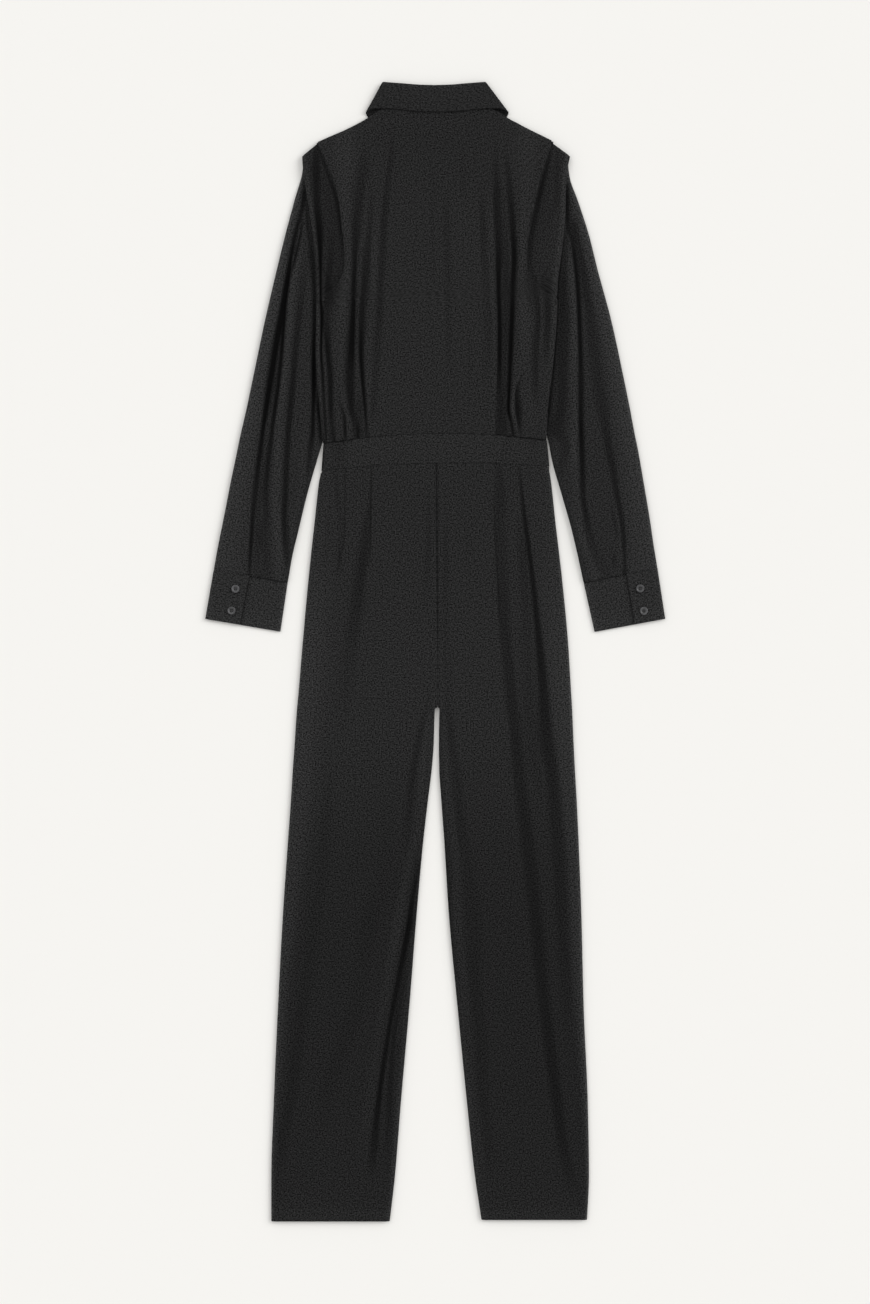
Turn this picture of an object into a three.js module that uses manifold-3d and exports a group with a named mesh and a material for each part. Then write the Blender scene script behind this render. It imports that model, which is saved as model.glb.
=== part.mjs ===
// A long-sleeved jumpsuit with a shirt collar, laid flat on its front with its back up.
// Millimetres. X runs to the picture's right, Y up to the collar, Z up from the table.
// Every cloth piece is a wall round a grid of points on the middle of the cloth.
// "out" is the distance from the centre line, so one rule makes the left and the right piece.

import * as THREE from 'three';
import Module from 'manifold-3d';
import { mergeVertices } from 'three/addons/utils/BufferGeometryUtils.js';

const wasm = await Module();
wasm.setup();

// Cloth and how it stacks
const CLOTH = 1.2;
const SEAM = 0.3;
const PLY = CLOTH + SEAM;
const layer = (count) => CLOTH / 2 + count * PLY;

// Heights of the middle of the cloth
const BACK_HEIGHT = 5.5;
const SIDE_HEIGHT = 7.6;
const LEG_HEIGHT = 4.6;
const BAND_HEIGHT = 4.7;
const SLEEVE_HEIGHT = 5;
const SHELF_HEIGHT = layer(1);

// Sizes across and along the garment
const ROLL = 7;
const OVERLAP = 9;
const TIP_Y = 667;
const UNDERARM_Y = 468;
const WAIST_Y = 283;
const CROTCH_Y = -72;
const PLACKET_WIDTH = 28;
const BUTTON_STAND_WIDTH = 30;
const BUTTON_STAND_SEAM = 8;
const BUTTON_RADIUS = 5.25;
const BUTTON_THICKNESS = 2.2;
const BUTTON_HOLE_RADIUS = 0.65;
const BUTTON_HOLE_PITCH = 1.45;
const CUFF_LENGTH = 98;
const CUFF_PUFF = 0.5;
const WAISTBAND_PUFF = 0.5;
const BEND = 1.8;

// Smooth steps and curves
const clamp = THREE.MathUtils.clamp;
const mix = THREE.MathUtils.lerp;
const ease = (from, to, at) => {
  const t = clamp((at - from) / (to - from), 0, 1);
  return t * t * (3 - 2 * t);
};
const roundedEdge = (distance, radius) => {
  const t = clamp(distance / radius, 0, 1);
  return Math.sqrt(1 - (1 - t) * (1 - t));
};

// A smooth curve through pairs of [at, value] that never swings past them
function curve(pairs) {
  const points = [...pairs].sort((a, b) => a[0] - b[0]);
  const last = points.length - 1;
  const step = [];
  const slope = [];
  for (let i = 0; i < last; i += 1) {
    step.push(points[i + 1][0] - points[i][0]);
    slope.push((points[i + 1][1] - points[i][1]) / step[i]);
  }
  const tangent = [slope[0]];
  for (let i = 1; i < last; i += 1) {
    const same = slope[i - 1] * slope[i] > 0;
    const weightA = 2 * step[i] + step[i - 1];
    const weightB = step[i] + 2 * step[i - 1];
    const mean = (weightA + weightB) / (weightA / slope[i - 1] + weightB / slope[i]);
    tangent.push(same ? mean : 0);
  }
  tangent.push(slope[last - 1]);
  return (at) => {
    if (at <= points[0][0]) return points[0][1];
    if (at >= points[last][0]) return points[last][1];
    let i = 0;
    while (at > points[i + 1][0]) i += 1;
    const t = (at - points[i][0]) / step[i];
    const rise = points[i + 1][1] - points[i][1];
    const bow = t * (1 - t) * step[i];
    const pull = (tangent[i] - slope[i]) * (1 - t) - (tangent[i + 1] - slope[i]) * t;
    return points[i][1] + rise * t + bow * pull;
  };
}

// One column of a table as a curve along another column
function column(table, along, name) {
  const from = table.columns.indexOf(along);
  const to = table.columns.indexOf(name);
  return curve(table.rows.map((row) => [row[from], row[to]]));
}

// The same with straight runs from row to row
function straight(table, along, name) {
  const from = table.columns.indexOf(along);
  const to = table.columns.indexOf(name);
  const pairs = table.rows.map((row) => [row[from], row[to]]).sort((a, b) => a[0] - b[0]);
  return (at) => {
    const next = clamp(pairs.findIndex((pair) => pair[0] >= at), 1, pairs.length - 1);
    const [a, b] = [pairs[next - 1], pairs[next]];
    return mix(a[1], b[1], clamp((at - a[0]) / (b[0] - a[0]), 0, 1));
  };
}

// Folds: a path of [y, out] points, how far the fold reaches to each side, and its depth
function foldHeight(folds) {
  const list = folds.map((fold) => ({ ...fold, centre: curve(fold.path) }));
  return (out, y) => {
    let height = 0;
    for (const fold of list) {
      const top = fold.path[0][0];
      const bottom = fold.path[fold.path.length - 1][0];
      const fadeIn = ease(top + 6, top - fold.fade, y);
      const fadeOut = ease(bottom - 6, bottom + fold.fade, y);
      const t = clamp(Math.abs(out - fold.centre(y)) / fold.reach, 0, 1);
      height += fold.depth * fadeIn * fadeOut * (1 - t * t) * (1 - t * t);
    }
    return height;
  };
}

// Places from one edge to the other, closer together over the rolled edges
function spread(from, to, rollFrom, rollTo, count, steps = 3) {
  const places = [];
  const sense = Math.sign(to - from);
  for (let i = 0; i < steps; i += 1) {
    places.push(from + sense * rollFrom * (1 - Math.cos((i / steps) * Math.PI / 2)));
  }
  const start = from + sense * rollFrom;
  const end = to - sense * rollTo;
  for (let i = 0; i <= count; i += 1) {
    places.push(mix(start, end, i / count));
  }
  for (let i = steps - 1; i >= 0; i -= 1) {
    places.push(to - sense * rollTo * (1 - Math.cos((i / steps) * Math.PI / 2)));
  }
  return places;
}

// The wall of cloth round a grid of points; a ring's last column joins its first
function wall(grid, ring = false, thickness = CLOTH) {
  const rows = grid.length;
  const columns = grid[0].length;
  const at = (r, c) => grid[clamp(r, 0, rows - 1)][
    ring ? (c + columns) % columns : clamp(c, 0, columns - 1)];
  const positions = [];
  for (const side of [0.5, -0.5]) {
    for (let r = 0; r < rows; r += 1) {
      for (let c = 0; c < columns; c += 1) {
        const across = new THREE.Vector3().subVectors(at(r, c + 1), at(r, c - 1));
        const along = new THREE.Vector3().subVectors(at(r + 1, c), at(r - 1, c));
        const normal = across.cross(along).normalize();
        const point = grid[r][c].clone().addScaledVector(normal, side * thickness);
        positions.push(point.x, point.y, point.z);
      }
    }
  }
  const count = rows * columns;
  const index = [];
  const quad = (a, b, c, d) => index.push(a, b, c, a, c, d);
  const lastColumn = ring ? columns : columns - 1;
  for (let r = 0; r < rows - 1; r += 1) {
    for (let c = 0; c < lastColumn; c += 1) {
      const next = (c + 1) % columns;
      const a = r * columns + c;
      const b = r * columns + next;
      const d = a + columns;
      const e = b + columns;
      quad(a, b, e, d);
      quad(count + a, count + d, count + e, count + b);
    }
  }
  for (let c = 0; c < lastColumn; c += 1) {
    const next = (c + 1) % columns;
    const end = (rows - 1) * columns;
    quad(c, count + c, count + next, next);
    quad(end + c, end + next, count + end + next, count + end + c);
  }
  for (let r = 0; r < rows - 1 && !ring; r += 1) {
    const a = r * columns;
    const b = a + columns - 1;
    quad(a, a + columns, count + a + columns, count + a);
    quad(b, count + b, count + b + columns, b + columns);
  }
  return outward(positions, index);
}

// A geometry whose faces all point out of it
function outward(positions, index) {
  const geometry = new THREE.BufferGeometry();
  geometry.setAttribute('position', new THREE.Float32BufferAttribute(positions, 3));
  const corner = [0, 1, 2].map(() => new THREE.Vector3());
  let volume = 0;
  for (let i = 0; i < index.length; i += 3) {
    corner.forEach((point, k) => point.fromArray(positions, 3 * index[i + k]));
    volume += corner[0].dot(corner[1].clone().cross(corner[2]));
  }
  geometry.setIndex(volume > 0 ? index : index.toReversed());
  return geometry;
}

// Boolean joins and cuts
function solidOf(geometry) {
  const plain = geometry.clone();
  plain.deleteAttribute('normal');
  plain.deleteAttribute('uv');
  const merged = mergeVertices(plain, 1e-4);
  const vertProperties = new Float32Array(merged.attributes.position.array);
  const triVerts = new Uint32Array(merged.index.array);
  return new wasm.Manifold(new wasm.Mesh({ numProp: 3, vertProperties, triVerts }));
}

function geometryOf(solid) {
  const mesh = solid.getMesh();
  const geometry = new THREE.BufferGeometry();
  geometry.setAttribute('position', new THREE.BufferAttribute(mesh.vertProperties, 3));
  geometry.setIndex(new THREE.BufferAttribute(mesh.triVerts, 1));
  return geometry;
}

// Materials
const crepe = (name, color, roughness = 0.85) => {
  const material = new THREE.MeshStandardMaterial({ color, roughness, metalness: 0 });
  material.name = name;
  return material;
};
const CREPE = crepe('charcoal_crepe', 0x2a2a2a);
const CREPE_BAND = crepe('charcoal_crepe_band', 0x2c2c2c);
const BUTTON = crepe('grey_button', 0x45454a, 0.4);

const jumpsuit = new THREE.Group();
function addPiece(name, geometry, material) {
  geometry.computeVertexNormals();
  const mesh = new THREE.Mesh(geometry, material);
  mesh.name = name;
  jumpsuit.add(mesh);
  return mesh;
}

// The two sides of the garment
const SIDES = [
  { name: 'left', sign: -1 },
  { name: 'right', sign: 1 },
];

// Edge of the bodice: down the armhole to the underarm, then down the side fold to the waist
const BODICE_EDGE = {
  left: {
    columns: ['y', 'out'],
    rows: [
      [667, 155], [651, 148.5], [635, 142.7], [619, 136.6], [603, 131.3], [587, 127.4],
      [555, 123.4], [530, 120.8], [510, 120.1], [488, 127.4], [475, 140.6], [468, 153],
      [462, 154.8], [424, 153.8], [332, 149.5], [283, 146.3],
    ],
  },
  right: {
    columns: ['y', 'out'],
    rows: [
      [667, 154.4], [643, 148.9], [619, 141.6], [587, 135.3], [555, 128], [530, 124.7],
      [510, 124], [490, 128.7], [475, 145], [467, 159], [460, 161], [390, 156.4],
      [332, 148.8], [283, 146.8],
    ],
  },
};

// Neck and shoulder line of the back
const TOP_LINE = {
  left: {
    columns: ['out', 'y'],
    rows: [
      [0, 722], [45, 722], [72, 715], [92, 702.2], [119.8, 687.8], [140, 679.2], [155, 672.3],
    ],
  },
  right: {
    columns: ['out', 'y'],
    rows: [[0, 722], [50, 722], [78, 715], [97, 703.6], [127, 687.8], [141, 681], [155, 674]],
  },
};

// Waistband seams: a shallow arch each, its peak a little right of the centre
const waistTop = (x) => 288 - 13 * ((x - 15) / 160) ** 2;
const waistBottom = (x) => 249 - 10 * ((x - 30) / 175) ** 2;

// Folds of the bodice back, each from its top end to its bottom end
const BACK_FOLDS = {
  left: [
    { name: 'side valley', reach: 9, depth: -2.6, fade: 25,
      path: [[478, 143.5], [424, 142.5], [372, 141], [332, 138], [280, 137]] },
    { name: 'side ridge', reach: 14, depth: 1.6, fade: 30,
      path: [[600, 117], [520, 113], [424, 126], [280, 124]] },
    { name: 'outer valley', reach: 7, depth: -2.4, fade: 40,
      path: [[664, 84], [635, 94.4], [603, 99.7], [555, 105], [424, 110], [372, 115], [280, 112]] },
    { name: 'inner valley', reach: 6, depth: -2.2, fade: 40,
      path: [[610, 82], [507, 91.7], [424, 97], [372, 94], [280, 87]] },
    { name: 'soft ridge', reach: 9, depth: 1.2, fade: 60,
      path: [[600, 74], [474, 80], [372, 86], [300, 80]] },
    { name: 'soft valley', reach: 7, depth: -1.1, fade: 40,
      path: [[691, 55], [635, 59.5], [539, 66.7], [424, 74.6], [306, 83]] },
    { name: 'gather', reach: 4, depth: -1.5, fade: 15, path: [[326, 127], [307, 118.5], [280, 116]] },
    { name: 'middle valley', reach: 9, depth: -0.35, fade: 60, path: [[646, 4], [480, 4]] },
  ],
  right: [
    { name: 'side valley', reach: 9, depth: -2.6, fade: 25,
      path: [[514, 146], [474, 149], [424, 148], [372, 143], [332, 139], [280, 138]] },
    { name: 'inner side valley', reach: 8, depth: -1.3, fade: 30,
      path: [[480, 133], [424, 136], [345, 132]] },
    { name: 'outer valley', reach: 6.5, depth: -2.2, fade: 40,
      path: [[684, 85], [651, 93], [619, 99], [523, 105], [424, 101], [344, 97], [280, 93]] },
    { name: 'inner valley', reach: 7.5, depth: -2.6, fade: 40,
      path: [[691, 80], [619, 80.5], [555, 84], [474, 86], [280, 86.5]] },
    { name: 'broad ridge', reach: 14, depth: 1.4, fade: 50,
      path: [[640, 120], [560, 113], [440, 120], [300, 122]] },
    { name: 'eyelet gather', reach: 5, depth: -3, fade: 22,
      path: [[366, 111], [325, 113.5], [280, 117]] },
    { name: 'eyelet lip', reach: 3.5, depth: 1, fade: 20,
      path: [[376, 104], [332, 106.5], [286, 111.5]] },
    { name: 'soft valley', reach: 6, depth: -0.8, fade: 50,
      path: [[619, 61], [523, 66.7], [390, 70.6]] },
    { name: 'middle valley', reach: 8, depth: -0.5, fade: 50,
      path: [[655, 36], [590, 35], [520, 34]] },
    { name: 'centre valley', reach: 8, depth: -0.5, fade: 50,
      path: [[618, 16.5], [461, 17], [390, 19]] },
  ],
};

// Height of the bodice back, which falls to the neck and rolls over at the shoulder
const SHOULDER_ROLL = 5;
const FOLD_FLOOR = layer(3) - 0.15;

function backHeight(topLine, folds, out, y, sideY) {
  const towardSide = ease(58, 112, out);
  const shoulderFall = ease(640, 690, y) * (SIDE_HEIGHT - BACK_HEIGHT);
  let z = mix(BACK_HEIGHT, SIDE_HEIGHT, towardSide) - shoulderFall * towardSide;
  z = Math.max(z + folds(out, y), FOLD_FLOOR);
  const gathered = Math.max(5, 0.75 * z + 0.6);
  z = mix(z, gathered, ease(300, WAIST_Y, sideY));
  const neckDip = ease(690, 706, y) * (1 - ease(78, 90, out));
  z = mix(z, layer(2), neckDip);
  const fromTop = (topLine(out) - y) * 0.9;
  const rolled = mix(layer(2), z, roundedEdge(fromTop, SHOULDER_ROLL));
  return mix(z, rolled, ease(84, 93, out));
}

// Bodice back: armhole edges turned down, side edges turned under along the side folds
function makeBodiceBack() {
  const edge = {};
  const folds = {};
  const topLine = {};
  for (const { name } of SIDES) {
    edge[name] = column(BODICE_EDGE[name], 'y', 'out');
    folds[name] = foldHeight(BACK_FOLDS[name]);
    topLine[name] = column(TOP_LINE[name], 'out', 'y');
  }
  const sideOf = (x) => (x < 0 ? 'left' : 'right');
  const sideRows = [283, 292, 312, 344, 380, 416, 446, 460, 468, 477, 489, 508, 534, 562, 592, 622,
    648, 661, 665.5, 667];
  const height = (x, y, sideY) => {
    const side = sideOf(x);
    return backHeight(topLine[side], folds[side], Math.abs(x), y, sideY);
  };
  const grid = sideRows.map((sideY) => {
    const lift = ease(470, TIP_Y, sideY) ** 1.2;
    const drop = 1 - ease(WAIST_Y, WAIST_Y + 70, sideY);
    const toTip = ease(663, TIP_Y, sideY);
    const yAt = (x) => {
      const line = topLine[sideOf(x)];
      const tip = line(154);
      return sideY + lift * (line(Math.abs(x)) - tip) + drop * (waistTop(x) + SEAM - WAIST_Y)
        + toTip * (tip - TIP_Y);
    };
    const turn = mix(0.5, 1, ease(UNDERARM_Y, 450, sideY));
    const tuck = mix(0.8, OVERLAP, ease(UNDERARM_Y, 450, sideY));
    const low = layer(2);
    const ends = {};
    for (const { name, sign } of SIDES) {
      const reach = edge[name](sideY) - CLOTH / 2;
      const top = height(sign * (reach - BEND), yAt(sign * reach), sideY);
      const half = (top - low) / 2;
      const points = [];
      for (let i = 0; i <= 4; i += 1) {
        const angle = Math.PI * turn * i / 4;
        const x = sign * (reach - BEND + BEND * Math.sin(angle));
        points.push(new THREE.Vector3(x, yAt(x), low + half + half * Math.cos(angle)));
      }
      const end = points[4];
      const angle = Math.PI * turn;
      for (let i = 1; i <= 2; i += 1) {
        const run = tuck * i / 2;
        const x = end.x + sign * run * Math.cos(angle);
        const z = Math.max(end.z - run * Math.sin(angle), low);
        points.push(new THREE.Vector3(x, yAt(x), z));
      }
      ends[name] = points;
    }
    const from = ends.left[0].x;
    const to = ends.right[0].x;
    const top = [];
    const places = 38;
    for (let i = 1; i < places; i += 1) {
      const t = i / places * 2 - 1;
      const share = 0.5 + 0.5 * (1.22 * t - 0.22 * t * Math.abs(t) ** 1.6);
      const x = mix(from, to, share);
      const y = yAt(x);
      top.push(new THREE.Vector3(x, y, height(x, y, sideY)));
    }
    return [...ends.left.toReversed(), ...top, ...ends.right];
  });
  addPiece('back_bodice', wall(grid), CREPE);
}

// Sleeves: a row for each section, from its inner edge to its outer edge
const SLEEVE = {
  left: {
    columns: ['row', 'innerOut', 'innerY', 'outerOut', 'outerY'],
    rows: [
      [0, 153, 648, 173, 650], [1, 161, 628, 175.6, 630], [2, 156, 592, 185, 597],
      [3, 149, 545, 197.8, 549], [4, 145, 498, 208.8, 504], [5, 143, 430, 224.6, 436],
      [6, 141, 360, 238.8, 368], [7, 142, 310, 249.1, 319], [8, 148.6, 277, 256.2, 288],
      [9, 156.8, 249, 261.2, 264], [10, 168.6, 208, 269.2, 226], [11, 180.2, 160, 278.5, 178],
      [12, 188.3, 126, 286, 141], [13, 194.2, 92.5, 292, 108.5],
    ],
  },
  right: {
    columns: ['row', 'innerOut', 'innerY', 'outerOut', 'outerY'],
    rows: [
      [0, 154, 642, 175.5, 644], [1, 161, 622, 178, 625], [2, 160, 590, 189, 594],
      [3, 157, 545, 203.4, 549], [4, 153, 498, 214.6, 504], [5, 148, 430, 232.4, 438],
      [6, 143.5, 360, 247.2, 370], [7, 142.5, 310, 257, 322], [8, 149.4, 278, 262.8, 291],
      [9, 155.2, 249, 268.3, 264], [10, 167.1, 208, 274.9, 226], [11, 180.6, 160, 283, 178],
      [12, 189, 124, 288.6, 140], [13, 196, 92, 293.4, 111.5],
    ],
  },
};

// The side fold that hangs over each sleeve: where the sleeve starts to rise from under it
const SHELF = {
  left: {
    columns: ['y', 'out'],
    rows: [
      [654, 175.8], [591, 167.5], [545, 161], [498, 157], [424, 155], [352, 152], [290, 149.5],
      [277, 149.5], [262, 146], [240, 138],
    ],
  },
  right: {
    columns: ['y', 'out'],
    rows: [
      [654, 178.9], [591, 173], [545, 170], [498, 166], [424, 160], [352, 152], [290, 150],
      [277, 150.5], [262, 147], [240, 138],
    ],
  },
};

const SLEEVE_FOLDS = {
  left: [
    { name: 'long valley', reach: 5.5, depth: -2, fade: 12,
      path: [
        [610, 176], [567, 181.5], [504, 190.7], [411, 205], [319, 224], [261, 231],
        [203, 236.7], [106, 245.5],
      ] },
    { name: 'second valley', reach: 3.5, depth: -1.4, fade: 25,
      path: [[404, 203], [352, 206], [261, 219], [203, 222.5], [141, 225]] },
    { name: 'inner valley', reach: 4.5, depth: -1.2, fade: 30,
      path: [[504, 171.6], [428, 181.5], [352, 188], [222, 197.3], [125, 194]] },
    { name: 'edge valley', reach: 6, depth: -1, fade: 20, path: [[400, 159], [292, 161], [232, 169]] },
  ],
  right: [
    { name: 'long valley', reach: 4.5, depth: -2, fade: 12,
      path: [
        [617, 177], [570, 176.5], [541, 179.5], [494, 189], [400, 193], [268, 194],
        [207, 195], [114, 214],
      ] },
    { name: 'outer valley', reach: 6, depth: -1.3, fade: 40,
      path: [[560, 186], [494, 198.3], [400, 209], [306, 225], [200, 241], [98, 250]] },
    { name: 'edge valley', reach: 9, depth: -1.2, fade: 40,
      path: [[540, 166], [447, 168], [353, 166], [240, 164]] },
  ],
};

// Sleeve head between the armhole seam and its own fold, which hangs over the rest of the sleeve
const SLEEVE_HEAD = {
  left: {
    columns: ['row', 'innerOut', 'innerY', 'outerOut', 'outerY'],
    rows: [
      [0, 155.6, 669.6, 175.2, 653.6], [1, 149.4, 651, 174.4, 640], [2, 137.2, 619, 170.8, 614],
      [3, 128, 587, 166.4, 586], [4, 124, 555, 161.8, 555], [5, 121.4, 530, 159, 530],
      [6, 120.8, 511, 157.3, 511], [7, 128, 489.8, 156.2, 496], [8, 141, 477.4, 155.6, 484],
      [9, 150, 473, 155.2, 476],
    ],
  },
  right: {
    columns: ['row', 'innerOut', 'innerY', 'outerOut', 'outerY'],
    rows: [
      [0, 155.2, 670.4, 178.2, 653.8], [1, 149.6, 643, 174.8, 636], [2, 142.3, 619, 172.4, 610],
      [3, 136, 587, 172.2, 580], [4, 128.7, 555, 170.2, 555], [5, 125.4, 530, 167.6, 530],
      [6, 124.7, 511, 165.4, 511], [7, 129.2, 491.6, 163.6, 496], [8, 145, 477.6, 162.6, 484],
      [9, 156.6, 471.6, 161.8, 475],
    ],
  },
};

const HEAD_FOLDS = {
  left: [
    { name: 'valley by the fold', reach: 9, depth: -2, fade: 20,
      path: [[661, 160], [628, 157], [591, 153.5], [535, 148.5], [478, 144]] },
    { name: 'swell', reach: 12, depth: 0.9, fade: 30, path: [[640, 147], [587, 139], [500, 134]] },
  ],
  right: [
    { name: 'valley by the fold', reach: 5, depth: -0.9, fade: 25,
      path: [[650, 166], [600, 164], [540, 159], [480, 151]] },
    { name: 'swell', reach: 13, depth: 1, fade: 30, path: [[640, 157], [587, 151], [500, 143]] },
  ],
};

function makeSleeve({ name, sign }) {
  const read = (table, key) => column(table[name], 'row', key);
  const shelf = column(SHELF[name], 'y', 'out');
  const folds = foldHeight(SLEEVE_FOLDS[name]);
  const inner = [read(SLEEVE, 'innerOut'), read(SLEEVE, 'innerY')];
  const outer = [read(SLEEVE, 'outerOut'), read(SLEEVE, 'outerY')];
  const lastRow = SLEEVE[name].rows.length - 1;
  const bottom = layer(0);
  const grid = [];
  for (let row = 0; row <= lastRow + 0.01; row += row < 10 ? 1 : 0.75) {
    const from = new THREE.Vector2(inner[0](row) + CLOTH / 2, inner[1](row));
    const to = new THREE.Vector2(outer[0](row) - CLOTH / 2, outer[1](row));
    const width = to.distanceTo(from);
    const bend = Math.min(2.2, width / 8);
    const toCuff = ease(11.6, lastRow, row);
    const heightAt = (share) => {
      const out = mix(from.x, to.x, share);
      const y = mix(from.y, to.y, share);
      const rise = ease(1, 10, out - shelf(y)) * mix(0.2, 1, ease(14, 60, width));
      let z = SHELF_HEIGHT + rise * (SLEEVE_HEIGHT - SHELF_HEIGHT + folds(out, y));
      z -= 0.9 * rise * ease(16, 0, (1 - share) * width);
      z = mix(z, layer(2), toCuff * 0.8);
      return Math.max(z, SHELF_HEIGHT);
    };
    const points = [];
    const put = (share, z) => points.push(
      new THREE.Vector3(sign * mix(from.x, to.x, share), mix(from.y, to.y, share), z));
    const bendShare = bend / width;
    for (let i = 0; i <= 18; i += 1) {
      const share = mix(bendShare, 1 - bendShare, i / 18);
      put(share, heightAt(share));
    }
    const bendRound = (edgeShare, sense) => {
      const top = heightAt(edgeShare - sense * bendShare);
      for (let i = 1; i < 4; i += 1) {
        const angle = Math.PI * (sense > 0 ? i : 4 - i) / 4;
        const middle = (top + bottom) / 2;
        const half = (top - bottom) / 2;
        put(edgeShare - sense * bendShare * (1 - Math.sin(angle)), middle + half * Math.cos(angle));
      }
    };
    bendRound(1, 1);
    for (let i = 0; i <= 3; i += 1) {
      put(mix(1 - bendShare, bendShare, i / 3), bottom);
    }
    bendRound(0, -1);
    grid.push(points);
  }
  const tube = solidOf(wall(grid, true));
  const head = solidOf(wall(sleeveHead(name, sign)));
  addPiece(`sleeve_${name}`, geometryOf(tube.add(head)), CREPE);
}

// The head as a grid: from the armhole seam over to the fold, round it and back under
function sleeveHead(name, sign) {
  const read = (key) => column(SLEEVE_HEAD[name], 'row', key);
  const inner = [read('innerOut'), read('innerY')];
  const outer = [read('outerOut'), read('outerY')];
  const folds = foldHeight(HEAD_FOLDS[name]);
  const grid = [];
  const rows = [0, 0.15, 0.5, 1, 2, 3, 4, 6, 7, 8, 9];
  for (const row of rows) {
    const from = new THREE.Vector2(inner[0](row), inner[1](row));
    const to = new THREE.Vector2(outer[0](row) - CLOTH / 2, outer[1](row));
    const width = to.x - from.x;
    const bend = Math.min(BEND, width * 0.35);
    const back = clamp(width * 0.6, 2.5, 6.5);
    const fromTop = roundedEdge(row * 12, 6);
    const heightAt = (share) => {
      const out = mix(from.x, to.x, share);
      const y = mix(from.y, to.y, share);
      let z = mix(4.7, 6.9, ease(0, 12, out - from.x)) + folds(out, y);
      z = mix(z, 6.2, ease(8, 2, to.x - out));
      z = Math.max(z, mix(4.5, layer(3), ease(OVERLAP + 3, OVERLAP, to.x - out)));
      return mix(layer(3), z, fromTop);
    };
    const points = [];
    for (let i = 0; i <= 8; i += 1) {
      const share = (i / 8) * (1 - bend / width);
      const x = sign * mix(from.x, to.x, share);
      points.push(new THREE.Vector3(x, mix(from.y, to.y, share), heightAt(share)));
    }
    const top = points[8].z;
    const low = layer(2);
    for (let i = 1; i <= 4; i += 1) {
      const angle = Math.PI * i / 4;
      const out = to.x - bend + bend * Math.sin(angle);
      points.push(new THREE.Vector3(sign * out, to.y, mix(low, top, (1 + Math.cos(angle)) / 2)));
    }
    for (const [share, z] of [[0.45, low], [0.8, low - 0.1], [1, layer(1) + 0.1]]) {
      points.push(new THREE.Vector3(sign * (to.x - bend - back * share), to.y, z));
    }
    grid.push(points);
  }
  return grid;
}

// Cuffs: a band wound once and a bit, from under the overlap round to the overlap's edge
const CUFF = {
  left: {
    topInner: [194.3, 92.15], topOuter: [292.1, 108.15],
    lowInner: [204, 26.8], lowOuter: [303.2, 42.7],
    overlapTop: 0.482, overlapLow: 0.49,
  },
  right: {
    topInner: [196.1, 91.65], topOuter: [293.5, 111.15],
    lowInner: [210.6, 26.5], lowOuter: [303.8, 43.8],
    overlapTop: 0.58, overlapLow: 0.57,
  },
};
const CUFF_BEND_IN = 1.2 / CUFF_LENGTH;
const CUFF_BEND_OUT = 1.9 / CUFF_LENGTH;
const CUFF_EDGE = 0.5 * CLOTH / CUFF_LENGTH;
const CUFF_UNDERLAP = 0.24;

function cuffPlace(cuff, share, down) {
  const top = new THREE.Vector2(...cuff.topInner).lerp(new THREE.Vector2(...cuff.topOuter), share);
  const low = new THREE.Vector2(...cuff.lowInner).lerp(new THREE.Vector2(...cuff.lowOuter), share);
  return top.lerp(low, down);
}

function makeCuff({ name, sign }) {
  const cuff = CUFF[name];
  const inside = CUFF_EDGE + CUFF_BEND_IN;
  const outside = 1 - CUFF_EDGE - CUFF_BEND_OUT;
  const grid = [];
  for (const down of [0, 0.08, 0.5, 0.92, 1]) {
    const points = [];
    const put = (share, z) => {
      const place = cuffPlace(cuff, share, down);
      points.push(new THREE.Vector3(sign * place.x, place.y, z));
    };
    const puff = CUFF_PUFF * Math.sin(Math.PI * down);
    const low = layer(0);
    const under = layer(1) + puff;
    const over = layer(2) + puff;
    const lap = mix(cuff.overlapTop, cuff.overlapLow, down);
    for (let i = 0; i <= 4; i += 1) {
      put(mix(lap + CUFF_UNDERLAP, inside, i / 4), under);
    }
    for (let i = 1; i <= 3; i += 1) {
      const angle = Math.PI * i / 4;
      put(inside - CUFF_BEND_IN * Math.sin(angle), mix(low, under, (1 + Math.cos(angle)) / 2));
    }
    for (let i = 0; i <= 3; i += 1) {
      put(mix(inside, outside, i / 3), low);
    }
    for (let i = 1; i <= 3; i += 1) {
      const angle = Math.PI * i / 4;
      put(outside + CUFF_BEND_OUT * Math.sin(angle), mix(over, low, (1 + Math.cos(angle)) / 2));
    }
    for (let i = 0; i <= 4; i += 1) {
      put(mix(outside, lap, i / 4), over);
    }
    grid.push(points);
  }
  addPiece(`cuff_${name}`, wall(grid), CREPE_BAND);
}

// Buttons lie on the overlap of each cuff
const BUTTON_PLACES = {
  left: { upper: [263.1, 83.3], lower: [268.3, 54.6] },
  right: { upper: [270.6, 83.8], lower: [275.4, 54.2] },
};

function buttonGeometry() {
  const r = BUTTON_RADIUS;
  const h = BUTTON_THICKNESS;
  const profile = [
    [0, 0], [r * 0.86, 0], [r, h * 0.3], [r, h * 0.7], [r * 0.88, h], [r * 0.72, h * 0.94],
    [r * 0.6, h * 0.62], [0, h * 0.55],
  ];
  const turned = new THREE.LatheGeometry(profile.map(([x, y]) => new THREE.Vector2(x, y)), 14);
  turned.rotateX(Math.PI / 2);
  let button = solidOf(turned);
  for (let i = 0; i < 4; i += 1) {
    const angle = Math.PI / 4 + i * Math.PI / 2;
    const hole = new THREE.CylinderGeometry(BUTTON_HOLE_RADIUS, BUTTON_HOLE_RADIUS, 3 * h, 6);
    hole.rotateX(Math.PI / 2);
    hole.translate(BUTTON_HOLE_PITCH * Math.cos(angle), BUTTON_HOLE_PITCH * Math.sin(angle), 0);
    button = button.subtract(solidOf(hole));
  }
  return geometryOf(button);
}

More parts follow.
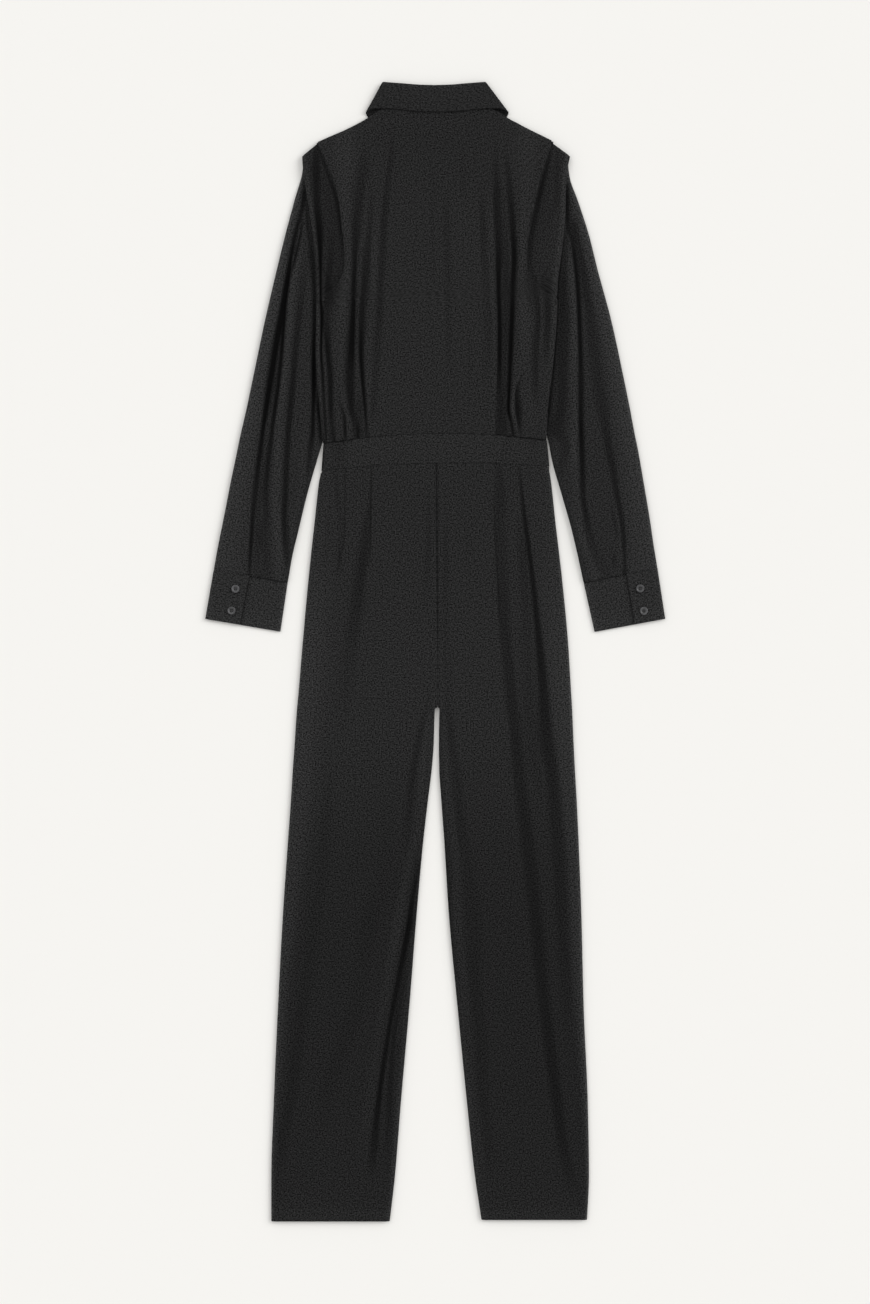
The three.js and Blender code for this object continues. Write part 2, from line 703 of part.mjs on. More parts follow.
function makeButtons({ name, sign }) {
  const seat = layer(2) + CUFF_PUFF + CLOTH / 2 + SEAM;
  for (const [place, [out, y]] of Object.entries(BUTTON_PLACES[name])) {
    const mesh = addPiece(`cuff_button_${name}_${place}`, buttonGeometry(), BUTTON);
    mesh.position.set(sign * out, y, seat);
  }
}

// Waistband back: a flat band whose ends roll down to the fronts; a little wider at its lower seam
const WAISTBAND_ENDS = { top: [-146.8, 147.2], low: [-149.4, 150.4] };

function makeWaistbandBack() {
  const { top, low } = WAISTBAND_ENDS;
  const grid = [0, 0.12, 0.5, 0.88, 1].map((down) => {
    const from = mix(top[0], low[0], down);
    const to = mix(top[1], low[1], down);
    return spread(from, to, ROLL, ROLL, 12).map((x) => {
      const y = mix(waistTop(x), waistBottom(x) + SEAM, down);
      const middle = BAND_HEIGHT + WAISTBAND_PUFF * Math.sin(Math.PI * down);
      const z = mix(layer(1), middle, roundedEdge(Math.min(x - from, to - x), ROLL));
      return new THREE.Vector3(x, y, z);
    });
  });
  addPiece('waistband_back', wall(grid), CREPE_BAND);
}

// Trousers: a row for each section, with its outer and its inner edge
const LEG = {
  left: {
    hem: -751,
    columns: ['y', 'outer', 'inner'],
    rows: [
      [240, 149.8, -1.7], [226, 152.7, -1.9], [176, 158.4, -2.2], [97, 166.9, -2.8],
      [18, 174.1, -3.2], [-72, 181.8, -3.4], [-75, 182.1, 0.2], [-90, 183.3, 1.2],
      [-122, 185.3, 2.2], [-154, 187.6, 4.7], [-196, 190.2, 9.8], [-249, 194, 15.9],
      [-344, 200.6, 24.5], [-471, 207.4, 34.6], [-597, 212.9, 45.7], [-692, 216, 53.4],
      [-751, 216, 60.2],
    ],
  },
  right: {
    hem: -749,
    columns: ['y', 'outer', 'inner'],
    rows: [
      [240, 150.8, 2], [226, 153, 2.2], [176, 158.4, 2.5], [97, 167.6, 3.1],
      [18, 175.2, 3.5], [-72, 180.8, 3.7], [-75, 181, 6], [-90, 181.6, 5.9],
      [-122, 183, 5.6], [-154, 184.6, 6], [-196, 187, 8.8], [-249, 189.5, 12.6],
      [-344, 193.1, 18.6], [-471, 196.3, 30.4], [-597, 201.7, 42.9], [-692, 203.2, 53.2],
      [-749, 200.6, 61.8],
    ],
  },
};
const LEG_ROWS = [216, 166, 96, 17, -40, -72, -75, -93, -123, -183, -253, -332, -412, -492, -571,
  -651, -721];

const LEG_FOLDS = {
  left: [
    { name: 'dart', reach: 3, depth: -1, fade: 10, path: [[246, 84.5], [200, 84.5], [150, 88]] },
    { name: 'long valley', reach: 10, depth: -1.5, fade: 60,
      path: [
        [165, 87], [77, 100], [7, 115.5], [-130, 130], [-298, 158], [-434, 166],
        [-567, 192], [-690, 204],
      ] },
    { name: 'outer dart', reach: 3, depth: -0.9, fade: 12,
      path: [[246, 131.5], [200, 128.7], [163, 123.4], [106, 129]] },
    { name: 'second outer dart', reach: 3, depth: -0.6, fade: 12, path: [[246, 121], [192, 121]] },
    { name: 'second valley', reach: 12, depth: -1.2, fade: 60,
      path: [[-190, 69], [-286, 72], [-419, 101], [-522, 121], [-611, 145]] },
    { name: 'inner valley', reach: 8, depth: -0.9, fade: 40, path: [[-80, 13], [-172, 29], [-260, 36]] },
    { name: 'inseam fold', reach: 5, depth: -1.2, fade: 40,
      path: [[-290, 29], [-414, 48], [-508, 62.5], [-625, 78.5], [-690, 84]] },
    { name: 'seat valley', reach: 9, depth: -0.4, fade: 30, path: [[190, 7.5], [106, 12.5]] },
  ],
  right: [
    { name: 'hip valley', reach: 13, depth: -1.5, fade: 20,
      path: [[250, 84], [213, 86.5], [150, 87], [77, 84], [-84, 100], [-209, 117]] },
    { name: 'long valley', reach: 10, depth: -1.4, fade: 60,
      path: [[-120, 105], [-316, 130], [-507, 151], [-670, 172], [-700, 184]] },
    { name: 'dart fold', reach: 4, depth: -1.5, fade: 25,
      path: [
        [246, 112], [150, 123], [68, 132.5], [-71, 144.5], [-222, 159], [-400, 173.5],
        [-567, 181.5],
      ] },
    { name: 'inner valley', reach: 9, depth: -1, fade: 50,
      path: [[-80, 19], [-172, 28], [-311, 42], [-419, 54], [-567, 62.7], [-660, 67]] },
    { name: 'seat valley', reach: 10, depth: -0.4, fade: 30, path: [[185, 12.5], [78, 12.5]] },
    { name: 'second seat valley', reach: 9, depth: -0.4, fade: 20, path: [[163, 43], [106, 43]] },
  ],
};

function makeTrouserBack({ name, sign }) {
  const outer = column(LEG[name], 'y', 'outer');
  const inner = column(LEG[name], 'y', 'inner');
  const folds = foldHeight(LEG_FOLDS[name]);
  const top = 246;
  const grid = [top, ...LEG_ROWS, LEG[name].hem].map((y) => {
    const freeInside = ease(CROTCH_Y + 10, CROTCH_Y - 40, y);
    const from = inner(y) + CLOTH / 4;
    const to = outer(y) - CLOTH / 2;
    return spread(from, to, ROLL, ROLL, 14).map((out) => {
      const x = sign * out;
      const height = Math.max(LEG_HEIGHT + folds(out, y), layer(1) + SEAM);
      const inRoll = mix(1, roundedEdge(out - from, ROLL), freeInside);
      const outRoll = roundedEdge(to - out, ROLL);
      const atWaist = ease(200, top, y) * (waistBottom(x) - top);
      const z = mix(layer(1), height, inRoll * outRoll);
      return new THREE.Vector3(x, y + atWaist, z);
    });
  });
  addPiece(`trouser_back_${name}`, wall(grid), CREPE);
}

// Fronts: flat plates on the table, in rows from the waistband's lower seam or up from it
const FRONT_SEAM_Y = 236.3;
const FRONT_BAND_Y = 279.6;
const FRONT_BAND_END = { top: 146.4, low: 147.9 };

function plate(rows, from, to, yAt, zAt, count = 1) {
  return rows.map((y) => {
    const points = [];
    for (let i = 0; i <= count; i += 1) {
      const x = mix(from(y), to(y), i / count);
      points.push(new THREE.Vector3(x, yAt(x, y), zAt(x, y)));
    }
    return points;
  });
}

function makeTrouserFront({ name, sign }) {
  const outer = column(LEG[name], 'y', 'outer');
  const inner = column(LEG[name], 'y', 'inner');
  const rows = [FRONT_SEAM_Y - SEAM, ...LEG_ROWS, LEG[name].hem + 1];
  const grid = plate(rows, (y) => sign * (inner(y) + SEAM / 4), (y) => sign * outer(y), (x, y) => y,
    () => layer(0), 2);
  addPiece(`trouser_front_${name}`, wall(grid), CREPE);
}

// Fronts of the bodice lift by one layer over the collar's leaves
const frontLift = (y) => PLY * ease(606, 634, y);
const FRONT_NECK = {
  left: {
    columns: ['out', 'y'],
    rows: [
      [0, 663], [14, 665], [40, 684], [62, 700], [80, 702.5], [92, 701], [119.8, 687],
      [140, 678.4], [155, 671.5],
    ],
  },
  right: {
    columns: ['out', 'y'],
    rows: [
      [0, 661.5], [14, 663.5], [40, 682], [62, 698.5], [80, 703], [97, 702], [127, 687],
      [141, 680], [155, 673],
    ],
  },
};

// Beside the sleeve the front stops short of it; above the sleeve it runs out to the shoulder tip
const FRONT_TIP = { below: 152.5, above: 156 };

function makeBodiceFront({ name, sign }) {
  const sleeveSide = straight(SLEEVE[name], 'innerY', 'innerOut');
  const neck = column(FRONT_NECK[name], 'out', 'y');
  const edge = (y) => {
    const beside = y > 300 ? sleeveSide(y) - 0.8 : FRONT_BAND_END.top - 0.2;
    const tip = mix(FRONT_TIP.below, FRONT_TIP.above, ease(651, 653, y));
    return y > 642 ? tip : Math.min(beside, mix(200, FRONT_TIP.below, ease(640, 642, y)));
  };
  const rows = [280, 310, 360, 430, 498, 545, 592, 610, 622, 628, 634, 642, 651, 653, 667];
  const inside = PLACKET_WIDTH / 2 + SEAM;
  const grid = rows.map((sideY) => {
    const places = [inside, 40, 62, 76, 92, 118, edge(sideY)];
    const lift = ease(636, TIP_Y, sideY);
    return places.map((out) => {
      const y = sideY + lift * (neck(out) - TIP_Y);
      return new THREE.Vector3(sign * out, y, layer(0) + frontLift(y));
    });
  });
  addPiece(`front_bodice_${name}`, wall(grid), CREPE);
}

function makeWaistbandFront({ name, sign }) {
  const inside = PLACKET_WIDTH / 2 + SEAM;
  const rows = [[FRONT_BAND_Y, FRONT_BAND_END.top], [FRONT_SEAM_Y + SEAM / 3, FRONT_BAND_END.low]];
  const grid = rows.map(([y, end]) => [inside, end].map(
    (out) => new THREE.Vector3(sign * out, y, layer(0))));
  addPiece(`waistband_front_${name}`, wall(grid), CREPE_BAND);
}

function makePlacket() {
  const rows = [FRONT_SEAM_Y + SEAM / 3, 600, 606, 612, 618, 624, 630, 636, 660];
  const half = PLACKET_WIDTH / 2;
  const strip = (from, to, count) => wall(plate(rows, () => from, () => to, (x, y) => y,
    (x, y) => layer(count) + frontLift(y)));
  addPiece('front_placket', strip(-half, half, 0), CREPE_BAND);
  const standEdge = -half - BUTTON_STAND_SEAM;
  addPiece('front_button_stand', strip(standEdge, standEdge + BUTTON_STAND_WIDTH, 1), CREPE_BAND);
}

// Collar: a ring that is open at the front, flattened, its side folds at the collar's ends
const COLLAR_FALL = {
  columns: ['turn', 'topX', 'topY', 'lowX', 'lowY', 'z'],
  rows: [
    [0, 0, 747.6, 0, 711.8, 3], [1, 20, 748.2, 28, 712.6, 3], [2, 42, 750, 55, 715.6, 3],
    [3, 60, 751.3, 78, 716.4, 3], [4, 66.6, 751.8, 91, 713.2, 3], [5, 68.3, 750.5, 94, 711, 1.5],
    [6, 66.6, 749, 92, 706.4, 0], [7, 57, 742, 84, 696, 0], [8, 36, 722, 68, 668, 0],
    [9, 14, 702, 46, 644, 0],
  ],
};

const COLLAR_STAND = {
  columns: ['turn', 'topX', 'topY', 'lowX', 'lowY', 'z'],
  rows: [
    [0, 0, 745.6, 0, 722.6, 2], [1, 22, 746, 26, 722.6, 2], [2, 44, 747, 50, 722.6, 2],
    [3, 56, 747.6, 70, 719.4, 2], [4, 60, 747, 75.4, 718.4, 2], [5, 60.8, 746.4, 76.4, 717.6, 1.5],
    [6, 60, 745.6, 75, 717, 1], [7, 54, 738, 63.4, 708.2, 1], [8, 34, 718, 39.5, 685.6, 1],
    [9, 8, 699, 13.5, 666.4, 1],
  ],
};

// The collar lies a little askew
const COLLAR_SKEW = { top: -1.1, low: 2.9 };

function collarRing(table, rise) {
  const read = (key) => column(table, 'turn', key);
  const [topX, topY, lowX, lowY, level] = ['topX', 'topY', 'lowX', 'lowY', 'z'].map(read);
  const turns = [];
  for (let turn = -9; turn <= 9; turn += 1) {
    turns.push(turn);
    if (Math.abs(turn + 0.5) >= 4 && Math.abs(turn + 0.5) <= 6) turns.push(turn + 0.5);
  }
  const shares = [0, 0.1, 0.4, 0.75, 1];
  const grid = shares.map((share) => turns.map((turn) => {
    const at = Math.abs(turn);
    const half = mix(lowX(at), topX(at), share);
    const x = Math.sign(turn) * half + mix(COLLAR_SKEW.low, COLLAR_SKEW.top, share);
    const y = mix(lowY(at), topY(at), share);
    const puff = ease(5, 3.4, at) * rise * Math.sin(Math.PI * share);
    return new THREE.Vector3(x, y, layer(level(at)) + puff);
  }));
  return wall(grid);
}

function makeCollar() {
  addPiece('collar_fall', collarRing(COLLAR_FALL, 1), CREPE_BAND);
  addPiece('collar_stand', collarRing(COLLAR_STAND, 0.2), CREPE_BAND);
}

makeBodiceBack();
makeWaistbandBack();
makePlacket();
makeCollar();
for (const side of SIDES) {
  makeBodiceFront(side);
  makeSleeve(side);
  makeCuff(side);
  makeButtons(side);
  makeWaistbandFront(side);
  makeTrouserBack(side);
  makeTrouserFront(side);
}

export default jumpsuit;
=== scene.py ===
# %% [markdown]
# A jumpsuit laid flat with its back up
#
# The imported solids already say how large each piece of cloth is and where it lies. This
# script gives each piece its finer form: soft folds, creases, rounded edges and a crepe
# finish, with painted shade in the folds and painted highlights on ridges and edges.
# Lengths are written in millimetres, as a pattern cutter writes them, and are turned into
# metres only when a mesh is made.

# %% Load the frame
import math

import bmesh
import bpy
import numpy as np
from mathutils import Matrix, Vector


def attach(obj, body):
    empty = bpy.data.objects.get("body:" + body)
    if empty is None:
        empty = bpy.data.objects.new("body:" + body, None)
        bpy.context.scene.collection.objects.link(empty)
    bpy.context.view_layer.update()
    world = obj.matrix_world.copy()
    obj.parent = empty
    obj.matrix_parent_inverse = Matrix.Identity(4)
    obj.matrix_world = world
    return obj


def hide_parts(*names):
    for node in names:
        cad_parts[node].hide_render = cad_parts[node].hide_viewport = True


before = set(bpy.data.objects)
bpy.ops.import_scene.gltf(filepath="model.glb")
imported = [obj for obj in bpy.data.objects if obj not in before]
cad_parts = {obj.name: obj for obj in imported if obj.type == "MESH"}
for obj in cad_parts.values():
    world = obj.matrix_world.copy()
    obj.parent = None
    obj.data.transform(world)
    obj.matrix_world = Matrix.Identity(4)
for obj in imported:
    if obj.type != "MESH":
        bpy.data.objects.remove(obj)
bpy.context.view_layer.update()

# %% [markdown]
# How cloth stacks
#
# Laid out, the panels of a garment lie on each other like sheets of paper. Counting
# layers from the table gives each panel its height with no guesswork: the fronts are
# layer 0, and the back lies over them. The wall is 1.2 mm, which stands for the crepe
# and the seam allowance behind it.

# %% Cloth and layers
MM = 0.001
CLOTH = 1.2
SEAM = 0.3
PLY = CLOTH + SEAM


def layer(count):
    """Height of the middle of a layer of cloth, counted from the table."""
    return CLOTH / 2 + count * PLY


print("layers of cloth at", [round(layer(count), 2) for count in range(4)], "mm")

# %% [markdown]
# Curves through a few known places
#
# An edge or a fold is known at a few places only. A cubic that never swings past its
# points joins them smoothly. A spline object could do this too, but a function can be
# asked for its value at any height, and that is what the panels need.


# %% Curves and soft steps
def mix(a, b, share):
    return a + (b - a) * share


def ease(start, end, at):
    """A soft step from 0 at start to 1 at end."""
    t = np.clip((np.asarray(at, float) - start) / (end - start), 0, 1)
    return t * t * (3 - 2 * t)


def rolled(distance, radius):
    """The profile of a rounded edge: 0 at the edge, 1 a radius away from it."""
    t = np.clip(np.asarray(distance, float) / radius, 0, 1)
    return np.sqrt(1 - (1 - t) ** 2)


def curve(places, values):
    """A smooth curve through the points that stays between neighbouring values."""
    order = np.argsort(places)
    x = np.asarray(places, float)[order]
    v = np.asarray(values, float)[order]
    step = np.diff(x)
    slope = np.diff(v) / step
    tangent = np.empty(len(x))
    tangent[0], tangent[-1] = slope[0], slope[-1]
    for i in range(1, len(x) - 1):
        before, after = slope[i - 1], slope[i]
        if before * after <= 0:
            tangent[i] = 0
            continue
        weight = (2 * step[i] + step[i - 1], step[i] + 2 * step[i - 1])
        tangent[i] = sum(weight) / (weight[0] / before + weight[1] / after)

    def value(at):
        at = np.clip(np.asarray(at, float), x[0], x[-1])
        i = np.clip(np.searchsorted(x, at, side="right") - 1, 0, len(step) - 1)
        t = (at - x[i]) / step[i]
        bow = t * (1 - t) * step[i]
        pull = (tangent[i] - slope[i]) * (1 - t) - (tangent[i + 1] - slope[i]) * t
        return v[i] + (v[i + 1] - v[i]) * t + bow * pull

    return value


def column(rows, along, name):
    """One named column of a table as a curve along another."""
    return curve([row[along] for row in rows], [row[name] for row in rows])


def columns(rows, names):
    """The named columns of a table as curves along the first of them."""
    along, *others = names.split()
    return [column(rows, along, name) for name in others]


def table(names, *rows):
    """Rows of numbers under named columns."""
    keys = names.split()
    return [dict(zip(keys, row)) for row in rows]


# %% [markdown]
# Folds
#
# A fold in laid cloth is a soft trough or ridge along a path. Each one here is a short
# table: where its middle runs, how far it reaches towards the middle of the garment and
# away from it, and how strong it is. The numbers were set one by one and changed until
# light and dark fell as they do on the real cloth. One side of a fold is often crisp and
# the other soft, because the cloth leans over. The strength, called shade here, sets the
# depth, and it also colours the crepe: painted shade darkens a valley, for the little
# light that gets in there, and a painted highlight brightens a ridge. The colour is
# painted on, so it stays where it is when the light moves. A cloth simulation would give
# folds too, but not these folds in these places.


# %% Fold helper
FOLD_ROW = "y out inward outward shade"
FOLD_CORE = 0.22
FOLD_DARKENS = 1.12
DARKEST = 0.98


def fold(name, *rows):
    """One fold from rows of FOLD_ROW. A shade below 0 makes a ridge with a painted highlight."""
    y, *given = zip(*rows)
    curves = {key: curve(y, values) for key, values in zip(FOLD_ROW.split()[1:], given)}
    return {"name": name, **curves}


def relief(folds, out, y, depth):
    """Height that the folds add at these places, and their painted shade or highlight."""
    out, y = np.broadcast_arrays(np.asarray(out, float), np.asarray(y, float))
    height = np.zeros(out.shape)
    light = np.ones(out.shape)
    for one in folds:
        aside = out - one["out"](y)
        reach = np.where(aside < 0, one["inward"](y), one["outward"](y))
        form = ease(1, FOLD_CORE, np.abs(aside) / reach) * one["shade"](y)
        height -= depth * form
        # The folds' painted shade: darker in a valley, brighter on a ridge.
        light *= 1 - np.minimum(FOLD_DARKENS * form, DARKEST)
    return height, 1 - light


def rim(distance, width, gain):
    """Shade along an edge that curves away: below 0, so the crepe is painted brighter."""
    return -gain * ease(1, 0, distance / width)


def laid_over(*shades):
    """Several shades laid over each other."""
    light = 1.0
    for shade in shades:
        light = light * (1 - shade)
    return 1 - light


# %% [markdown]
# A wall of cloth
#
# Each panel starts as a grid of points on the middle of its cloth. Moving the points out
# and in along the surface normal gives the face and the inside, and a strip round the
# edge closes the wall. Blender's Solidify does the same, but here the thickness thins
# towards the edge, so seams look turned and pressed instead of cut. The UV map measures
# the cloth in metres along its grain, so the weave is the same size on every piece.


# %% Rounded rims
EDGE = 0.5


def with_edges(grid, shade, ring):
    """Adds a row or column half a millimetre in from each edge, for a rounded rim."""

    def doubled(points, marks, axis):
        points = np.moveaxis(points, axis, 0)
        marks = np.moveaxis(marks, axis, 0)

        def between(edge, inner):
            gap = np.linalg.norm(points[inner] - points[edge], axis=-1, keepdims=True)
            share = np.minimum(0.5, EDGE / np.maximum(gap, 1e-6))
            return points[edge] + (points[inner] - points[edge]) * share

        points = np.concatenate(
            [points[:1], between(0, 1)[None], points[1:-1], between(-1, -2)[None], points[-1:]]
        )
        marks = np.concatenate([marks[:1], marks[:1], marks[1:-1], marks[-1:], marks[-1:]])
        return np.moveaxis(points, 0, axis), np.moveaxis(marks, 0, axis)

    grid, shade = doubled(grid, shade, 0)
    if not ring:
        grid, shade = doubled(grid, shade, 1)
    return grid, shade


# %% Faces of a wall
def facing(grid, ring, wrapped):
    """Unit normals of the grid, on the side that is the face of the cloth."""
    if ring:
        across = np.roll(grid, -1, axis=1) - np.roll(grid, 1, axis=1)
    else:
        across = np.gradient(grid, axis=1)
    normal = np.cross(across, np.gradient(grid, axis=0))
    normal /= np.maximum(np.linalg.norm(normal, axis=-1, keepdims=True), 1e-9)
    if ring or wrapped:
        centre = grid.reshape(-1, 3).mean(axis=0)
        looks = ((grid - centre)[..., 2] * normal[..., 2]).sum()
    else:
        looks = normal[..., 2].sum()
    return -normal if looks < 0 else normal


def wall_quads(rows, places, ring):
    """Quads of the face, of the inside and of the strips that join them at the edges."""
    number = np.arange(rows * places).reshape(rows, places)
    right = np.roll(number, -1, axis=1)
    last = places if ring else places - 1
    a, b = number[:-1, :last], right[:-1, :last]
    c, d = right[1:, :last], number[1:, :last]
    count = rows * places
    quads = [np.stack([a, b, c, d], -1).reshape(-1, 4)]
    quads.append(np.stack([d, c, b, a], -1).reshape(-1, 4) + count)
    borders = [(number[row, :last], right[row, :last], row == -1) for row in (0, -1)]
    if not ring:
        borders += [(number[:-1, edge], number[1:, edge], edge == 0) for edge in (0, -1)]
    for p, q, turn in borders:
        strip = np.stack([p, p + count, q + count, q], -1)
        quads.append(strip[:, ::-1] if turn else strip)
    return np.concatenate(quads)


def outward(points, quads):
    """The quads in the turning sense in which they look out of the closed wall."""
    corner = points[quads]
    volume = np.einsum("ij,ij->i", corner[:, 0], np.cross(corner[:, 1], corner[:, 2])).sum()
    volume += np.einsum("ij,ij->i", corner[:, 0], np.cross(corner[:, 2], corner[:, 3])).sum()
    return quads[:, ::-1] if volume < 0 else quads


# %% Wall of cloth
EDGE_THIN = 0.45
# Painted shade added on the inside of a wall, which also darkens its edges.
INSIDE_SHADE = 0.3


def add_cloth_uv(mesh, grid):
    """A UV map in metres, measured along the rows and columns of the grid."""
    run = np.zeros((*grid.shape[:2], 2))
    run[:, 1:, 0] = np.cumsum(np.linalg.norm(np.diff(grid, axis=1), axis=-1), axis=1)
    run[1:, :, 1] = np.cumsum(np.linalg.norm(np.diff(grid, axis=0), axis=-1), axis=0)
    run = np.concatenate([run.reshape(-1, 2)] * 2) * MM
    uv = mesh.uv_layers.new(name="cloth")
    corners = np.empty(len(mesh.loops), np.int32)
    mesh.loops.foreach_get("vertex_index", corners)
    uv.data.foreach_set("uv", run[corners].ravel())


def add_crease(mesh, shade):
    """The painted shade of each point: as on the face, and a little darker on the inside, so that
    the edges show a painted dark line.
    """
    painted_shade = mesh.attributes.new("painted_shade", "FLOAT", "POINT")
    marks = np.concatenate([shade.ravel(), np.clip(shade.ravel() + INSIDE_SHADE, 0, 1)])
    painted_shade.data.foreach_set("value", marks.astype(np.float32))


def wall(name, grid, shade=None, ring=False, wrapped=False):
    """A closed wall of cloth round a grid of middle points, in millimetres.

    A ring's last column joins its first. The face of a wrapped piece looks away from its
    middle, and that of a plain sheet looks up.
    """
    grid = np.asarray(grid, float)
    shade = np.zeros(grid.shape[:2]) if shade is None else np.asarray(shade, float)
    grid, shade = with_edges(grid, shade, ring)
    rows, places = grid.shape[:2]
    half = np.full((rows, places, 1), CLOTH / 2)
    half[[0, -1]] *= EDGE_THIN
    if not ring:
        half[:, [0, -1]] = np.minimum(half[:, [0, -1]], EDGE_THIN * CLOTH / 2)
    out_by = facing(grid, ring, wrapped) * half
    points = np.concatenate([(grid + out_by).reshape(-1, 3), (grid - out_by).reshape(-1, 3)]) * MM
    quads = outward(points, wall_quads(rows, places, ring))
    mesh = bpy.data.meshes.new(name)
    mesh.from_pydata(points.tolist(), [], quads.tolist())
    mesh.update()
    add_cloth_uv(mesh, grid)
    add_crease(mesh, shade)
    mesh.polygons.foreach_set("use_smooth", [True] * len(mesh.polygons))
    piece = bpy.data.objects.new(name, mesh)
    bpy.context.collection.objects.link(piece)
    return piece


# %% Object helpers
def deselect():
    bpy.ops.object.select_all(action="DESELECT")


def smooth(piece, degrees):
    """Shades a piece smooth, apart from edges that are sharper than this."""
    deselect()
    piece.select_set(True)
    bpy.context.view_layer.objects.active = piece
    bpy.ops.object.shade_smooth_by_angle(angle=math.radians(degrees))
    deselect()


def joined(name, *pieces):
    """Several meshes as one object."""
    deselect()
    for piece in pieces:
        piece.select_set(True)
    bpy.context.view_layer.objects.active = pieces[0]
    bpy.ops.object.join()
    pieces[0].name = name
    deselect()
    return pieces[0]


def half_area(piece):
    """Area of one side of a cloth wall, in square metres."""
    return sum(face.area for face in piece.data.polygons) / 2


# %% [markdown]
# Crepe
#
# The cloth is a dry charcoal crepe: nearly black, matt, with a fine uneven grain and a
# faint sheen where it curves away, which comes partly from the shader's sheen and partly
# from painted highlights along the edges. Three scales of noise give it: a pebble of about
# half a millimetre in the bump, a mottle about two millimetres wide in the bump and the
# colour, and a slow drift in the roughness. An attribute of painted shade and painted
# highlights leads from the plain colour to nearly black in a valley, and the other way on
# a ridge or an edge. An image of cloth would need a photo, while noise on the cloth's own
# UV map follows every panel.


# %% Crepe material
def crepe(name, colour, dark):
    material = bpy.data.materials.new(name)
    material.use_nodes = True
    nodes, links = material.node_tree.nodes, material.node_tree.links
    shader = nodes["Principled BSDF"]
    shader.inputs["Metallic"].default_value = 0
    shader.inputs["Specular IOR Level"].default_value = 0.06
    shader.inputs["Sheen Weight"].default_value = 0.1
    shader.inputs["Sheen Roughness"].default_value = 0.35
    shader.inputs["Sheen Tint"].default_value = (0.75, 0.76, 0.8, 1)
    place = nodes.new("ShaderNodeUVMap")
    place.uv_map = "cloth"

    def noise(scale, detail, roughness):
        node = nodes.new("ShaderNodeTexNoise")
        node.inputs["Scale"].default_value = scale
        node.inputs["Detail"].default_value = detail
        node.inputs["Roughness"].default_value = roughness
        links.new(place.outputs["UV"], node.inputs["Vector"])
        return node

    def ramp(source, low, high, start, end):
        node = nodes.new("ShaderNodeMapRange")
        node.inputs["From Min"].default_value = low
        node.inputs["From Max"].default_value = high
        node.inputs["To Min"].default_value = start
        node.inputs["To Max"].default_value = end
        links.new(source, node.inputs["Value"])
        return node.outputs["Result"]

    pebble = noise(1500, 2, 0.6)
    mottle = noise(560, 1, 0.5)
    drift = noise(14, 2, 0.5)

    # The attribute holds painted shade and painted highlights. The mix leads towards the dark
    # colour for painted shade, and past the plain colour, away from the dark one, for painted
    # highlights.
    painted_shade = nodes.new("ShaderNodeAttribute")
    painted_shade.attribute_name = "painted_shade"
    shade = nodes.new("ShaderNodeMix")
    shade.data_type = "RGBA"
    shade.clamp_factor = False
    shade.inputs["A"].default_value = (*colour, 1)
    shade.inputs["B"].default_value = (*dark, 1)
    links.new(painted_shade.outputs["Fac"], shade.inputs["Factor"])
    tone = nodes.new("ShaderNodeMix")
    tone.data_type = "RGBA"
    tone.blend_type = "MULTIPLY"
    tone.inputs["Factor"].default_value = 1
    links.new(shade.outputs["Result"], tone.inputs["A"])
    links.new(ramp(mottle.outputs["Fac"], 0.3, 0.7, 0, 2), tone.inputs["B"])
    links.new(tone.outputs["Result"], shader.inputs["Base Color"])
    links.new(ramp(drift.outputs["Fac"], 0.3, 0.7, 0.78, 0.9), shader.inputs["Roughness"])

    bump = nodes.new("ShaderNodeBump")
    bump.inputs["Strength"].default_value = 0.5
    bump.inputs["Distance"].default_value = 0.00018
    links.new(pebble.outputs["Fac"], bump.inputs["Height"])
    soft = nodes.new("ShaderNodeBump")
    soft.inputs["Strength"].default_value = 0.5
    soft.inputs["Distance"].default_value = 0.0004
    links.new(mottle.outputs["Fac"], soft.inputs["Height"])
    links.new(bump.outputs["Normal"], soft.inputs["Normal"])
    links.new(soft.outputs["Normal"], shader.inputs["Normal"])
    return material


# The second colour is the near black that painted shade leads to in the deepest valley.
CREPE = crepe("charcoal_crepe", (0.0174, 0.0174, 0.0174), (0.001, 0.001, 0.001))
CREPE_BAND = crepe("charcoal_crepe_band", (0.0187, 0.0187, 0.0187), (0.001, 0.001, 0.001))
print("materials", [m.name for m in (CREPE, CREPE_BAND)])


def finish_cloth(piece, material, *nodes):
    """Gives a cloth piece its crepe, which paints its shade and highlights, and puts it in the CAD
    nodes' place.
    """
    piece.data.materials.clear()
    piece.data.materials.append(material)
    smooth(piece, 50)
    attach(piece, "root")
    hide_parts(*nodes)
    print(piece.name, len(piece.data.polygons), "faces,", round(half_area(piece), 4), "m2")
    return piece


# %% [markdown]
# Outlines of the bodice
#
# The back of the bodice is one panel. From each shoulder its edge runs down the armhole,
# turns out at the underarm, and then follows the side, where the cloth is folded under.
# The two sides differ a little, as they do on any garment that someone has laid out.

